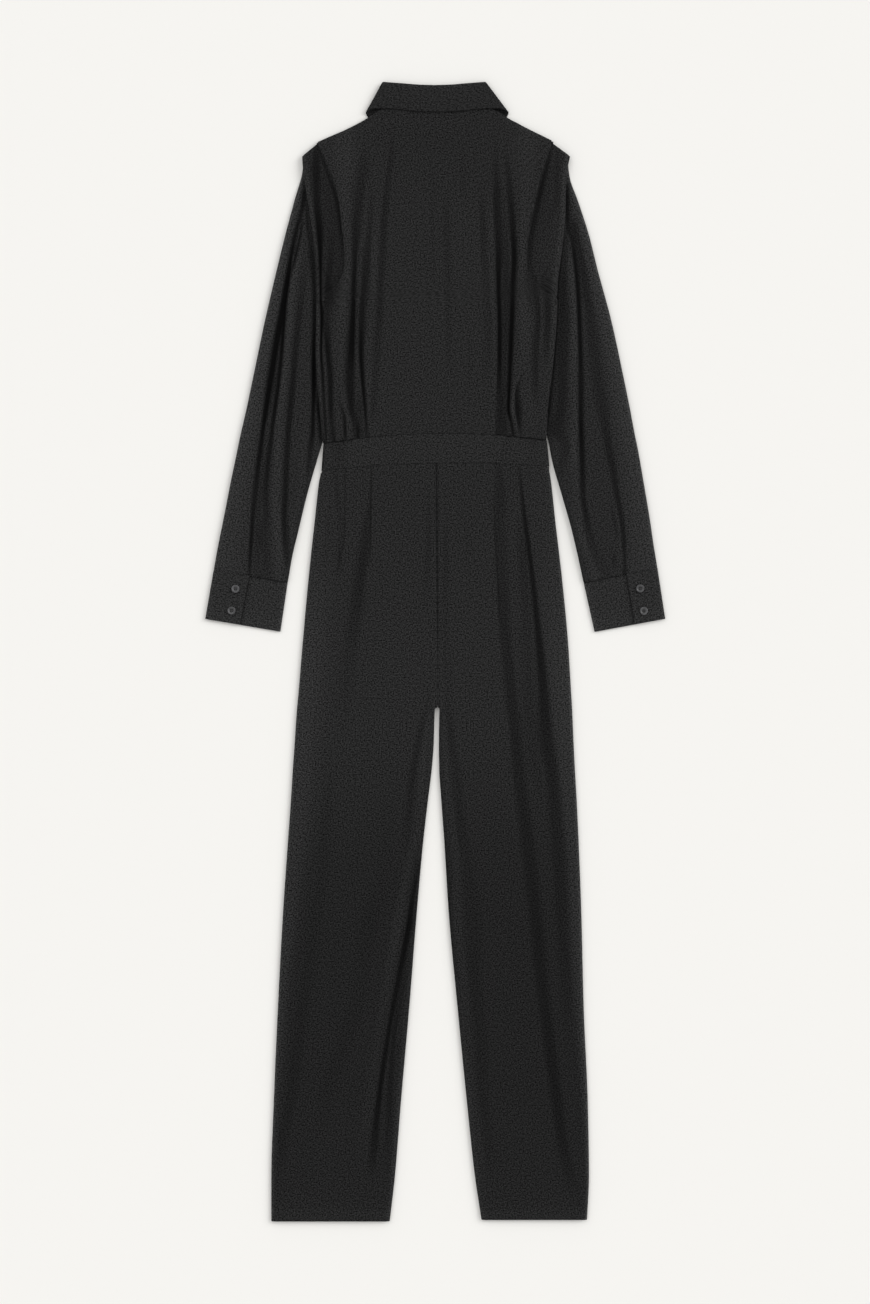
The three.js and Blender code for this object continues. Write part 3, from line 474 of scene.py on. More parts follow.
# %% Bodice outline
SIDES = (("left", -1), ("right", 1))
BODICE_EDGE = {
    "left": table(
        "y out",
        (667, 155), (651, 148.5), (635, 142.7), (619, 136.6), (603, 131.3), (587, 127.4),
        (555, 123.4), (530, 120.8), (510, 120.1), (488, 127.4), (475, 140.6), (469, 153),
        (464, 156.4), (424, 156.8), (400, 157), (360, 155.4), (332, 152.6), (292, 148.6),
        (283, 147.4),
    ),
    "right": table(
        "y out",
        (667, 154.4), (643, 146.6), (619, 139.6), (587, 132.8), (555, 126), (530, 122.7),
        (510, 122), (490, 127.4), (475, 144), (468, 159), (462, 161.4), (440, 160.6),
        (400, 157.6), (360, 153.4), (332, 149.6), (283, 146.8),
    ),
}
TOP_LINE = {
    "left": table(
        "out y", (0, 722), (45, 722), (72, 715), (92, 702.2), (119.8, 687.8), (140, 679.2),
        (155, 672.3),
    ),
    "right": table(
        "out y", (0, 722), (50, 722), (78, 715), (97, 703.6), (127, 687.8), (141, 681), (155, 674),
    ),
}
top_line = {side: column(TOP_LINE[side], "out", "y") for side, _ in SIDES}


def by_side(x, left, right):
    return np.where(np.asarray(x) < 0, left, right)


def waist_top(x):
    """The waistband's upper seam, a shallow arch with its peak right of the middle."""
    return 288 - 13 * ((x - 15) / 160) ** 2


def waist_bottom(x):
    return 249 - 10 * ((x - 30) / 175) ** 2


print("the waistband is", round(waist_top(0) - waist_bottom(0), 1), "mm high in the middle")


# %% Folds of the bodice back
BODICE_DEPTH = 3.6
BACK_FOLDS = {
    "left": [
        fold("side valley",
             (500, 151, 3, 3, 0), (474, 151, 3, 3, 0.8), (440, 150, 4, 3, 0.9),
             (400, 150, 2.5, 3.5, 0.78), (360, 148, 3, 4, 0.6), (320, 146, 3, 4, 0.48),
             (283, 144, 3, 3, 0.5)),
        fold("slope by the side valley",
             (490, 143, 10, 4, 0), (474, 143.5, 15, 4, 0.55), (440, 147, 14, 3, 0.45),
             (420, 145, 11, 3, 0.6), (400, 143.5, 9, 3, 0.72), (360, 139, 7, 5, 0.68),
             (320, 138, 6, 5, 0.64), (292, 137, 6, 5, 0.35), (276, 136, 6, 5, 0.3)),
        fold("turned side",
             (488, 156, 3, 3, 0), (470, 156, 3, 3, -0.1), (440, 154.6, 3, 5, -0.2),
             (400, 155.2, 2.5, 5, -0.25), (360, 152.8, 2.5, 5, -0.2), (320, 150, 2.5, 5, -0.15),
             (283, 147.6, 2.5, 5, -0.15)),
        fold("side ridge",
             (640, 122, 22, 18, -0.2), (600, 119, 9, 12, -0.19), (560, 118, 8, 7, -0.15),
             (520, 114, 6, 8, -0.1), (480, 120, 9, 10, -0.18), (440, 124, 9, 11, -0.14),
             (400, 125, 7, 8, -0.12), (360, 126, 6, 6, -0.1), (330, 119, 5, 5, 0)),
        fold("outer valley",
             (672, 93, 8, 6, 0), (640, 96.5, 14, 8, 0.24), (600, 98, 6, 14, 0.36),
             (560, 106, 12, 6.5, 0.46), (520, 106, 5, 6, 0.6), (480, 107, 4.5, 6.5, 0.74),
             (440, 107.5, 4.5, 9.5, 0.82), (400, 108.5, 4.5, 13, 0.84), (360, 112, 9, 11, 0.66),
             (320, 110.5, 7, 7, 0.66), (300, 106, 6, 6, 0.5), (276, 105, 6, 6, 0.3)),
        fold("inner valley",
             (630, 84, 6, 6, 0), (600, 84, 5, 7, 0.12), (560, 86.5, 5, 6, 0.28),
             (520, 90, 7, 9, 0.42), (480, 95, 10, 5, 0.56), (440, 98.5, 10, 4, 0.62),
             (400, 98.5, 7, 4.5, 0.84), (360, 96.5, 5.5, 3.5, 0.82), (320, 92.5, 4, 3, 0.68),
             (292, 90.5, 3.2, 3, 0.5), (276, 90, 3, 3, 0.45)),
        fold("hollow between", (345, 100, 8, 8, 0), (320, 100, 8, 8, 0.3), (276, 97, 8, 8, 0.22)),
        fold("inner ridge",
             (580, 79, 6, 6, 0), (520, 80.5, 5, 6, -0.12), (480, 81, 5, 5, -0.08),
             (440, 84, 6, 4, -0.02), (400, 89, 5, 3, -0.06), (360, 88.5, 5, 4, -0.1),
             (320, 87.5, 4, 3, -0.08), (283, 86, 4, 3, -0.06)),
        fold("soft valley",
             (692, 55, 4, 4, 0), (665, 57, 5, 5, 0.16), (640, 60, 6, 6, 0.28),
             (600, 65, 7, 6, 0.33), (560, 68, 7, 7, 0.38), (520, 70, 8, 7, 0.33),
             (480, 72.5, 7, 7, 0.36), (440, 74, 8, 8, 0.33), (400, 77, 8, 8, 0.27),
             (360, 79, 7, 7, 0.22), (320, 82, 6, 6, 0.2), (296, 84, 5, 5, 0)),
        fold("under the armhole",
             (560, 128, 7, 10, 0), (525, 128, 7, 14, 0.26), (490, 130, 8, 14, 0.26),
             (460, 134, 10, 10, 0.12), (430, 138, 10, 8, 0)),
        fold("gather",
             (334, 128, 3, 4, 0), (322, 124, 3, 5, 0.3), (310, 119.5, 3, 5, 0.5),
             (292, 118.3, 3, 5, 0.58), (276, 118, 3, 4, 0.45)),
        fold("lip of the gather",
             (318, 117, 3, 3, 0), (300, 114.5, 3, 3, -0.12), (280, 114.5, 3, 3, -0.12)),
        fold("gather at the seam",
             (304, 102, 3, 3, 0), (292, 101.5, 3.5, 3.5, 0.6), (278, 101, 4, 4, 0.5)),
        fold("outer gather", (304, 134, 4, 5, 0), (290, 134, 4, 5, 0.3), (276, 133, 5, 5, 0.4)),
        fold("middle valley",
             (660, 4, 5, 5, 0), (620, 4, 5, 5, 0.08), (520, 4, 6, 6, 0.06), (460, 4, 6, 6, 0)),
    ],
    "right": [
        fold("side valley",
             (540, 150, 6, 7, 0), (500, 148, 7, 8, 0.18), (470, 147, 7, 8, 0.34),
             (440, 147, 5, 8, 0.43), (400, 146, 6, 6, 0.25), (368, 144, 5, 5, 0)),
        fold("under the armhole",
             (570, 126, 6, 14, 0), (525, 125, 6, 22, 0.24), (490, 127, 12, 16, 0.22),
             (460, 128, 10, 8, 0.12), (430, 130, 8, 8, 0)),
        fold("second side valley",
             (505, 130, 6, 6, 0), (480, 133, 8, 5, 0.26), (440, 136.5, 8, 4, 0.42),
             (400, 133, 8, 5, 0.4), (360, 132, 8, 6, 0.32), (322, 131, 6, 6, 0)),
        fold("turned side",
             (488, 158, 5, 4, 0), (468, 158, 5, 4, -0.16), (440, 156.6, 5, 5, -0.18),
             (400, 153.6, 5, 5, -0.12), (360, 149, 5, 5, -0.05), (283, 143, 4, 4, 0)),
        fold("side ridge",
             (650, 122, 22, 18, -0.15), (600, 118, 10, 14, -0.14), (560, 117, 8, 9, -0.16),
             (520, 114, 7, 8, -0.14), (480, 111, 6, 10, -0.12), (440, 118, 11, 11, -0.18),
             (400, 118, 11, 9, -0.13), (360, 114, 10, 10, -0.06), (320, 122, 6, 14, -0.05),
             (283, 122, 10, 12, -0.04)),
        fold("outer valley",
             (672, 90, 5, 5, 0), (640, 94.5, 5, 6, 0.25), (600, 99, 7, 6.5, 0.47),
             (560, 102, 7, 6.5, 0.64), (520, 103.2, 4.5, 8, 0.8), (480, 102, 5.5, 7, 0.78),
             (440, 101, 5.5, 6.5, 0.9), (400, 99.6, 5, 6, 0.9), (360, 98, 4, 5, 0.88),
             (320, 97.4, 4.4, 3, 0.95), (300, 101, 4, 3.5, 0.62), (276, 104, 4, 3, 0.55)),
        fold("inner valley",
             (692, 80.5, 5, 5, 0), (640, 80, 6, 5, 0.22), (600, 80, 6, 10, 0.48),
             (560, 81.5, 6, 10, 0.54), (520, 83.8, 7, 7, 0.72), (480, 83.6, 5, 5.5, 0.86),
             (440, 84.9, 5, 5.5, 0.88), (400, 85.3, 5.5, 5, 0.9), (360, 84.6, 5.5, 5, 0.7),
             (320, 83.3, 6, 6, 0.4), (276, 80.5, 3.5, 6, 0.42)),
        fold("hollow between",
             (610, 91, 6, 6, 0), (560, 92, 7, 7, 0.16), (480, 93, 7, 8, 0.38),
             (400, 93, 6, 7, 0.4), (360, 92, 6, 6, 0.36), (320, 90, 8, 8, 0.4),
             (276, 90, 10, 9, 0.42)),
        fold("inner ridge",
             (600, 72, 5, 4, 0), (560, 73, 5, 4, -0.1), (520, 73, 6, 4, -0.06),
             (480, 75, 5, 4, -0.12), (440, 77, 5, 3, -0.05), (400, 79, 6, 3, -0.07),
             (300, 77, 6, 4, -0.04)),
        fold("eyelet",
             (374, 117, 2, 3, 0), (364, 114, 2, 3, 0.2), (350, 108, 2.5, 5, 0.45),
             (335, 106, 2.5, 8, 0.6), (320, 106.5, 2.5, 11, 0.7), (303, 109, 2.5, 7, 0.62),
             (288, 112, 2, 3, 0.2)),
        fold("lip of the eyelet",
             (364, 110, 3, 2, 0), (345, 102.8, 3, 2.5, -0.2), (320, 102, 2.5, 2.5, -0.35),
             (300, 105.4, 2.5, 2.5, -0.2), (288, 109, 2.5, 2.5, 0)),
        fold("soft valley",
             (626, 61, 4, 4, 0), (600, 60.5, 5, 5, 0.12), (560, 62, 5, 8, 0.3),
             (520, 63.5, 6, 7, 0.24), (480, 67, 9, 7, 0.14), (400, 69, 9, 9, 0.12),
             (350, 64, 8, 8, 0)),
        fold("centre valley",
             (620, 14, 6, 6, 0), (560, 14, 6, 8, 0.18), (480, 16.5, 6, 7, 0.14),
             (400, 17, 6, 7, 0.12), (350, 19, 6, 6, 0)),
        fold("middle valley", (665, 36.3, 5, 5, 0), (625, 36, 6, 6, 0.1), (585, 35, 5, 5, 0)),
        fold("low middle valley", (420, 45, 6, 6, 0), (380, 44, 6, 6, 0.1), (340, 43, 6, 6, 0)),
    ],
}
print("folds of the back", {side: len(BACK_FOLDS[side]) for side, _ in SIDES})

# %% [markdown]
# The back of the bodice
#
# Each row of the panel runs from one side edge to the other. Above the underarm the edge
# is the armhole seam: it bends down a little and lies over the edge of the sleeve. Below
# the underarm the cloth goes round a half circle and back under itself. A flat panel with
# thickness could not show that soft edge. The panel is gathered into the waistband, so the
# folds run on right down to the seam.


# %% Bodice back
BACK_HEIGHT = 5.5
SIDE_HEIGHT = 8.2
TIP_Y = 667.0
UNDERARM_Y = 468.0
WAIST_Y = 283.0
OVERLAP = 9.0
SIDE_RISE = (58, 112)
SHOULDER_FALL = (640, 690)
NECK_LINE = (690, 706)
NECK_SIDE = (78, 90)
SHOULDER_SIDE = (84, 93)
YOKE = (560, 700)
# The middle of the back is painted a little darker towards the neck.
YOKE_SHADE = 0.1
SIDE_BEND = 1.8
UNDERARM_TURN = (UNDERARM_Y + 2, 456)
ARMHOLE_TURN = 0.15
ARMHOLE_TUCK = 0.8


def bodice_height(x, y, side_y):
    out = np.abs(x)
    at_side = ease(*SIDE_RISE, out)
    folds = {side: relief(BACK_FOLDS[side], out, y, BODICE_DEPTH) for side, _ in SIDES}
    height = by_side(x, folds["left"][0], folds["right"][0])
    shade = by_side(x, folds["left"][1], folds["right"][1])
    shade = laid_over(shade, YOKE_SHADE * ease(*YOKE, y) * (1 - at_side))
    shoulder_fall = ease(*SHOULDER_FALL, y) * (SIDE_HEIGHT - BACK_HEIGHT)
    z = mix(BACK_HEIGHT, SIDE_HEIGHT, at_side) - shoulder_fall * at_side + height
    z = np.maximum(z, layer(3) - 0.15)
    z = mix(z, np.maximum(5, 0.75 * z + 0.6), ease(298, WAIST_Y, side_y))
    z = mix(z, layer(2), ease(*NECK_LINE, y) * (1 - ease(*NECK_SIDE, out)))
    line = by_side(x, top_line["left"](out), top_line["right"](out))
    shoulder = mix(layer(2), z, rolled((line - y) * 0.9, 5))
    return mix(z, shoulder, ease(*SHOULDER_SIDE, out)), shade


def bodice_back():
    edge = {side: column(BODICE_EDGE[side], "y", "out") for side, _ in SIDES}
    side_rows = np.concatenate(
        [np.linspace(WAIST_Y, 450, 50)[:-1], np.linspace(450, 500, 22)[:-1],
         np.linspace(500, 655, 44)[:-1], np.linspace(655, TIP_Y, 9)]
    )
    grid, shades = [], []
    for side_y in side_rows:
        lift = ease(470, TIP_Y, side_y) ** 1.2
        drop = 1 - ease(WAIST_Y, WAIST_Y + 70, side_y)
        to_tip = ease(663, TIP_Y, side_y)

        def y_at(x):
            out = np.abs(x)
            line = by_side(x, top_line["left"](out), top_line["right"](out))
            tip = by_side(x, top_line["left"](154), top_line["right"](154))
            waist = drop * (waist_top(x) + SEAM - WAIST_Y)
            return side_y + lift * (line - tip) + waist + to_tip * (tip - TIP_Y)

        below_underarm = ease(*UNDERARM_TURN, side_y)
        turn = mix(ARMHOLE_TURN, 1, below_underarm)
        tuck = mix(ARMHOLE_TUCK, OVERLAP, below_underarm)
        bend, low = SIDE_BEND, layer(2)
        ends = {}
        for side, sign in SIDES:
            reach = edge[side](side_y) - CLOTH / 2
            top, top_shade = bodice_height(
                np.array([sign * (reach - bend)]), y_at(sign * reach), side_y
            )
            angle = math.pi * turn * np.linspace(0, 1, 9)
            out = reach - bend + bend * np.sin(angle)
            z = low + (top[0] - low) / 2 * (1 + np.cos(angle))
            run = tuck * np.linspace(0, 1, 5)[1:]
            out = np.concatenate([out, out[-1] + run * math.cos(math.pi * turn)])
            z = np.concatenate([z, np.maximum(z[-1] - run * math.sin(math.pi * turn), low)])
            x = sign * out
            ends[side] = np.stack([x, y_at(x), z], -1), np.full(len(x), top_shade[0])
        left, right = ends["left"], ends["right"]
        t = np.linspace(-1, 1, 241)[1:-1]
        share = 0.5 + 0.5 * (1.3 * t - 0.3 * t * np.abs(t) ** 1.6)
        x = mix(left[0][0, 0], right[0][0, 0], share)
        y = y_at(x)
        z, shade = bodice_height(x, y, side_y)
        grid.append(np.concatenate([left[0][::-1], np.stack([x, y, z], -1), right[0]]))
        shades.append(np.concatenate([left[1][::-1], shade, right[1]]))
    return wall("bodice_back", grid, shades)


BACK = finish_cloth(bodice_back(), CREPE, "back_bodice")

# %% [markdown]
# Sleeves
#
# A sleeve lies as a flattened tube, so each section is a ring: over the top with its
# folds, round the outer edge, back along the table and round the inner edge. Its head,
# between the armhole seam and the long fold beside it, hangs over the rest of the sleeve,
# so it is a second sheet that turns under and meets the tube. Its other edge runs four
# millimetres in under the bodice, as the seam allowance of an armhole does. Lofting the
# rings keeps the long creases straight, which a simulated tube would not.

# %% Sleeve tables
SECTION = "row inner_out inner_y outer_out outer_y"
SLEEVE = {
    "left": table(
        SECTION,
        (0, 153, 648, 173, 650), (1, 161, 628, 175.6, 630), (2, 156, 592, 185, 597),
        (3, 149, 545, 197.8, 549), (4, 145, 498, 208.8, 504), (5, 143, 430, 224.6, 436),
        (6, 141, 360, 238.8, 368), (7, 142, 310, 249.1, 319), (8, 148.6, 277, 256.2, 288),
        (9, 156.8, 249, 261.2, 264), (10, 168.6, 208, 269.2, 226), (11, 180.2, 160, 278.5, 178),
        (12, 188.3, 126, 286, 141), (13, 194.2, 92.2, 292, 108.2),
    ),
    "right": table(
        SECTION,
        (0, 154, 642, 175.5, 644), (1, 161, 622, 178, 625), (2, 160, 590, 189, 594),
        (3, 157, 545, 203.4, 549), (4, 153, 498, 214.6, 504), (5, 148, 430, 232.4, 438),
        (6, 143.5, 360, 247.2, 370), (7, 142.5, 310, 257, 322), (8, 149.4, 278, 262.8, 291),
        (9, 155.2, 249, 268.3, 264), (10, 167.1, 208, 274.9, 226), (11, 180.6, 160, 283, 178),
        (12, 189, 124, 288.6, 140), (13, 196, 91.7, 293.4, 111.2),
    ),
}
SHELF = {
    "left": table(
        "y out", (654, 175.8), (591, 167.5), (545, 161), (498, 157.5), (440, 157.5), (400, 157.8),
        (352, 155.6), (320, 152.6), (290, 149.5), (277, 149.5), (262, 146), (240, 138),
    ),
    "right": table(
        "y out", (654, 178.9), (591, 173), (545, 170), (498, 165), (440, 161.2), (400, 158.2),
        (360, 154), (320, 149), (290, 147.5), (277, 149), (262, 147), (240, 138),
    ),
}
SLEEVE_HEAD = {
    "left": table(
        SECTION,
        (0, 155.4, 669.8, 175.2, 653.6), (1, 149, 651, 174.4, 640), (2, 136.9, 619, 170.8, 614),
        (3, 127.7, 587, 166.4, 586), (4, 123.7, 555, 161.8, 555), (5, 121.1, 530, 159, 530),
        (6, 120.6, 511, 157.6, 511), (7, 127.8, 489.8, 157, 496), (8, 141, 477.4, 156.8, 484),
        (9, 148, 471.6, 156.6, 474), (10, 151.5, 464.5, 156, 466),
    ),
    "right": table(
        SECTION,
        (0, 154.9, 670.8, 178.2, 653.8), (1, 147, 643, 174.8, 636), (2, 140, 619, 172.4, 610),
        (3, 133.2, 587, 172, 580), (4, 126.4, 555, 170, 555), (5, 123.1, 530, 167.4, 530),
        (6, 122.5, 511, 164.8, 511), (7, 128, 491.6, 162.8, 496), (8, 144, 477.6, 161.8, 484),
        (9, 153, 470.6, 161.4, 475), (10, 156, 464, 160.6, 467),
    ),
}

# %% Folds of the sleeves
SLEEVE_DEPTH = 3.0
SLEEVE_FOLDS = {
    "left": [
        fold("long valley",
             (622, 172, 3, 3, 0), (600, 172.5, 3.5, 6, 0.66), (575, 177, 3, 6, 0.64),
             (560, 181.5, 3.5, 6.5, 0.66), (520, 189.5, 3, 7, 0.84), (480, 195.4, 5, 8.5, 1.06),
             (440, 202.6, 5, 9, 1.0), (400, 209.6, 4.5, 10, 0.94), (360, 216, 5, 10, 0.9),
             (320, 222.8, 5, 7, 0.92), (292, 227, 4.5, 6, 0.8), (270, 230, 5, 6, 0.76),
             (240, 233.5, 4, 7, 0.7), (210, 237, 5, 7, 0.6), (180, 240.3, 4.5, 5.5, 0.64),
             (150, 242.4, 4.5, 4.5, 0.7), (120, 244.4, 4, 4, 0.6), (100, 245.2, 3.5, 3, 0.4)),
        fold("second valley",
             (575, 174, 3, 3, 0), (560, 176, 3, 3, 0.5), (520, 184.5, 3.5, 3, 0.58),
             (490, 191, 3, 3, 0), (460, 195.8, 3, 4, 0.45), (440, 198.6, 4, 4, 0.86),
             (400, 201.8, 4, 4.5, 0.78), (360, 205.6, 4, 4.5, 0.72), (320, 211, 4, 5, 0.74),
             (292, 215, 4, 5, 0.66), (270, 217.5, 4.5, 6, 0.6), (240, 221, 4.5, 6, 0.58),
             (210, 223, 4.5, 6, 0.48), (180, 223.5, 7, 6, 0.34), (150, 226, 9, 8, 0.24),
             (120, 223.5, 6, 5, 0.2), (100, 222, 6, 5, 0.1)),
        fold("hollow between",
             (470, 200, 5, 5, 0), (440, 201, 5, 5, 0.2), (400, 206, 5, 5, 0.32),
             (360, 210.5, 6, 6, 0.32), (320, 217, 6, 6, 0.2), (290, 221, 6, 6, 0.06),
             (240, 227.5, 6, 6, 0.16), (210, 230, 6, 6, 0.2), (180, 233, 6, 5, 0.2),
             (150, 234, 8, 6, 0.28), (120, 236, 8, 6, 0.14), (98, 236, 8, 6, 0.1)),
        fold("ridge by the valleys",
             (540, 176, 4, 4, 0), (520, 180.5, 5, 3, -0.26), (480, 190.8, 9, 3, -0.36),
             (440, 194.6, 11, 3, -0.32), (400, 197, 8, 3, -0.32), (360, 201, 8, 3, -0.3),
             (320, 206, 9, 3, -0.3), (292, 209.5, 11, 3, -0.26), (270, 208.5, 8, 6, -0.32),
             (240, 209, 8, 7, -0.3), (210, 211, 9, 8, -0.28), (180, 210, 8, 8, -0.3),
             (150, 206, 6, 12, -0.34), (120, 206, 9, 11, -0.3), (98, 205, 10, 12, -0.28)),
        fold("inner valley",
             (532, 168, 4, 4, 0), (480, 175, 6, 7, 0.25), (440, 180, 7, 7, 0.4),
             (400, 184, 6, 7, 0.48), (360, 187.8, 7, 6, 0.56), (320, 191.5, 7, 6, 0.6),
             (292, 193.8, 6, 6, 0.6), (270, 195, 6, 6, 0.56), (240, 196.6, 6, 6, 0.55),
             (210, 197.5, 6, 7, 0.56), (180, 199, 5.5, 6, 0.58), (150, 197.8, 6, 7, 0.48),
             (120, 195.3, 5, 6, 0.26), (104, 195, 5, 6, 0)),
        fold("inner ridge",
             (300, 172, 8, 6, 0), (270, 174, 7, 6, -0.1), (240, 174, 5, 8, -0.14),
             (210, 178, 6, 8, -0.1), (180, 188, 8, 5, -0.12), (150, 189, 8, 4, -0.2),
             (120, 190, 6, 4, 0)),
        fold("edge valley",
             (598, 171, 3, 3, 0), (582, 170, 3, 3, 0.2), (560, 168.5, 3, 3, 0.45),
             (540, 165, 3, 5, 0.4), (520, 162, 4, 9, 0.5), (480, 159.5, 3, 5, 0.5),
             (440, 158.5, 3, 4.5, 0.62), (400, 159.5, 3, 5, 0.82), (360, 159.5, 4, 6, 0.95),
             (340, 160, 4, 5, 0.88), (320, 160.5, 4, 5, 0.8), (292, 161.5, 5, 5, 0.74),
             (270, 164.5, 6, 6, 0.52), (240, 167.5, 5, 6, 0.28), (225, 169, 4, 4, 0)),
        fold("line by the side",
             (346, 156, 2.5, 2.5, 0), (320, 154, 2.5, 3, 0.7), (292, 151, 2.5, 3, 0.5),
             (270, 151, 3, 4, 0.25), (256, 152, 3, 4, 0)),
    ],
    "right": [
        fold("long valley",
             (628, 176.5, 2.5, 3, 0.1), (600, 174, 3, 5, 0.7), (575, 174.5, 4, 5, 0.62),
             (560, 175.5, 4, 5, 0.5), (545, 179.4, 3, 5, 0.56), (520, 183.2, 3, 6, 0.74),
             (480, 187.6, 4, 6, 0.76), (440, 189.6, 4, 6, 0.76), (400, 190.8, 4, 6, 0.76),
             (360, 191.6, 5, 7, 0.68), (320, 191.4, 4.5, 7, 0.72), (292, 191.8, 4.5, 7, 0.8),
             (270, 192.8, 5, 7, 0.74), (240, 194, 6, 6, 0.66), (210, 194.5, 6, 6, 0.54),
             (180, 198.5, 5.5, 6, 0.5), (150, 204, 8, 10, 0.25), (120, 214, 10, 12, 0.14),
             (98, 225, 10, 12, 0.05)),
        fold("outer slope",
             (575, 181, 4, 8, 0), (560, 182, 5, 9, 0.42), (520, 191, 6, 10, 0.4),
             (480, 198, 8, 9, 0.4), (440, 203, 8, 14, 0.3), (400, 207, 10, 16, 0.28),
             (360, 212, 11, 16, 0.26), (320, 221, 14, 12, 0.3), (292, 225, 10, 8, 0.36),
             (270, 228.5, 9, 8, 0.42), (240, 233.5, 6, 9, 0.44), (210, 239, 6, 6, 0.5),
             (180, 244.5, 5, 6, 0.5), (150, 249, 6, 4, 0.54), (120, 250, 4, 4, 0.45),
             (98, 251, 8, 4, 0.55)),
        fold("ridge by the valley",
             (545, 176, 4, 4, 0), (520, 178, 6, 3, -0.22), (480, 181, 7, 5, -0.27),
             (440, 183.5, 7, 4, -0.32), (400, 183, 7, 6, -0.3), (360, 182, 7, 7, -0.2),
             (320, 184.5, 7, 4, -0.24), (292, 183, 8, 6, -0.24), (270, 182, 7, 6, -0.3),
             (240, 184, 8, 6, -0.2), (210, 186, 8, 5, -0.18), (180, 188, 9, 6, -0.2),
             (150, 194, 8, 6, -0.28), (120, 204, 9, 9, -0.22), (98, 210, 12, 16, -0.28)),
        fold("edge line",
             (556, 172, 2.5, 3, 0), (520, 166.4, 4, 3, 0.5), (480, 162, 3, 4, 0.6),
             (440, 160.8, 3, 3, 0.62), (400, 158.4, 3, 3, 0.66), (360, 155, 3, 3, 0.55),
             (320, 150, 3, 4, 0.64), (292, 147, 2.5, 4, 0.42), (270, 150, 3, 4, 0.1)),
        fold("edge valley",
             (520, 170, 6, 6, 0), (480, 168.5, 7, 8, 0.42), (440, 170, 9, 10, 0.4),
             (400, 169, 11, 10, 0.42), (360, 168, 12, 10, 0.44), (320, 165, 12, 12, 0.46),
             (292, 158, 10, 20, 0.4), (270, 173, 14, 8, 0.26), (240, 164, 5, 10, 0.22),
             (222, 166, 5, 8, 0)),
        fold("pucker",
             (198, 231, 4, 4, 0), (180, 234, 4, 4, 0.2), (160, 238.5, 3, 3, 0.28),
             (146, 241, 3, 3, 0)),
        fold("second pucker", (134, 236, 5, 4, 0), (120, 236.5, 5, 4, 0.28), (106, 237, 4, 4, 0)),
    ],
}
# Width and strength of the painted highlight along a sleeve's outer edge.
SLEEVE_RIM = table(
    "y width gain", (650, 8, 0.6), (600, 10, 0.65), (560, 14, 0.68), (480, 24, 0.66),
    (400, 30, 0.66), (320, 34, 0.66), (240, 40, 0.58), (150, 54, 0.5), (90, 70, 0.48),
)
HEAD_FOLDS = {
    "left": [
        fold("valley by the fold",
             (668, 157, 5, 4, 0.3), (655, 157, 7, 6, 0.5), (640, 157, 8, 9, 0.55),
             (600, 157.5, 9, 5, 0.5), (560, 154, 9, 5.5, 0.8), (520, 151.5, 4.5, 4.5, 0.88),
             (474, 151, 3, 3, 0.78), (464, 151, 3, 3, 0.8)),
        fold("inner crease",
             (562, 136, 5, 5, 0), (545, 137, 5, 6, 0.14), (520, 138.5, 7, 6, 0.3),
             (500, 141, 8, 5, 0.4), (474, 143.5, 15, 4, 0.5)),
        fold("seam shadow",
             (668, 154.6, 2, 3, 0.3), (651, 149.4, 2.5, 3.5, 0.4), (635, 143.9, 3, 4, 0.4),
             (603, 132.4, 3.5, 4.5, 0.46), (587, 128.6, 4, 4.5, 0.44), (555, 124.6, 4, 4.5, 0.36),
             (530, 122.4, 4, 4, 0.18), (511, 122, 4, 4, 0)),
        fold("turned edge",
             (655, 172, 5, 5, -0.25), (640, 171.5, 5, 6, -0.3), (600, 167, 5, 5, -0.42),
             (560, 162, 4, 5, -0.42), (520, 158, 3.5, 4, -0.32), (480, 156.2, 3, 4, -0.2)),
    ],
    "right": [
        fold("soft valley",
             (660, 162, 5, 4, 0.1), (640, 160.5, 6, 5, 0.2), (600, 160, 7, 6, 0.18),
             (560, 148, 12, 8, 0.08), (520, 146, 14, 10, 0.06), (474, 147, 8, 9, 0.36)),
        fold("seam shadow",
             (668, 154.6, 2, 3, 0.3), (643, 147.4, 3, 5, 0.5), (619, 141, 3.5, 5.5, 0.58),
             (600, 136.8, 4, 6, 0.6), (587, 134.2, 4.5, 5.5, 0.5), (555, 127.8, 5, 5.5, 0.4),
             (530, 124.6, 5, 5, 0.32), (511, 124, 5, 5, 0.15), (495, 128, 5, 5, 0)),
        fold("turned edge",
             (655, 175, 6, 5, -0.3), (640, 172.5, 6, 5, -0.3), (600, 169.5, 6, 5, -0.3),
             (560, 167, 7, 5, -0.25), (520, 162.5, 7, 5, -0.25), (480, 158, 7, 4, -0.18)),
    ],
}
# Painted shade over the sleeve head, given on its seam side and its outer side.
HEAD_SHADE = {
    "left": table("y inner outer", (670, 0.08, 0.08), (600, 0.34, 0.26), (480, 0.36, 0.26)),
    "right": table(
        "y inner outer", (670, 0.1, 0.08), (600, 0.32, 0.09), (520, 0.3, 0.04), (480, 0.24, 0.03)
    ),
}
print("folds of the sleeves", {side: len(SLEEVE_FOLDS[side]) for side, _ in SIDES})


# %% Sleeve tube
HALF_TURN = np.linspace(0, math.pi, 9)
SLEEVE_HEIGHT = 5.4
SHELF_Z = layer(1)
SHELF_RISE = (1, 10)
FULL_WIDTH = (14, 60)
TUBE_BEND = 2.2
EDGE_FALL = 0.9
EDGE_FALL_WIDTH = 16
TO_CUFF = 11.6
TURN_GLEAM = 0.4
TABLE_POINTS = 13


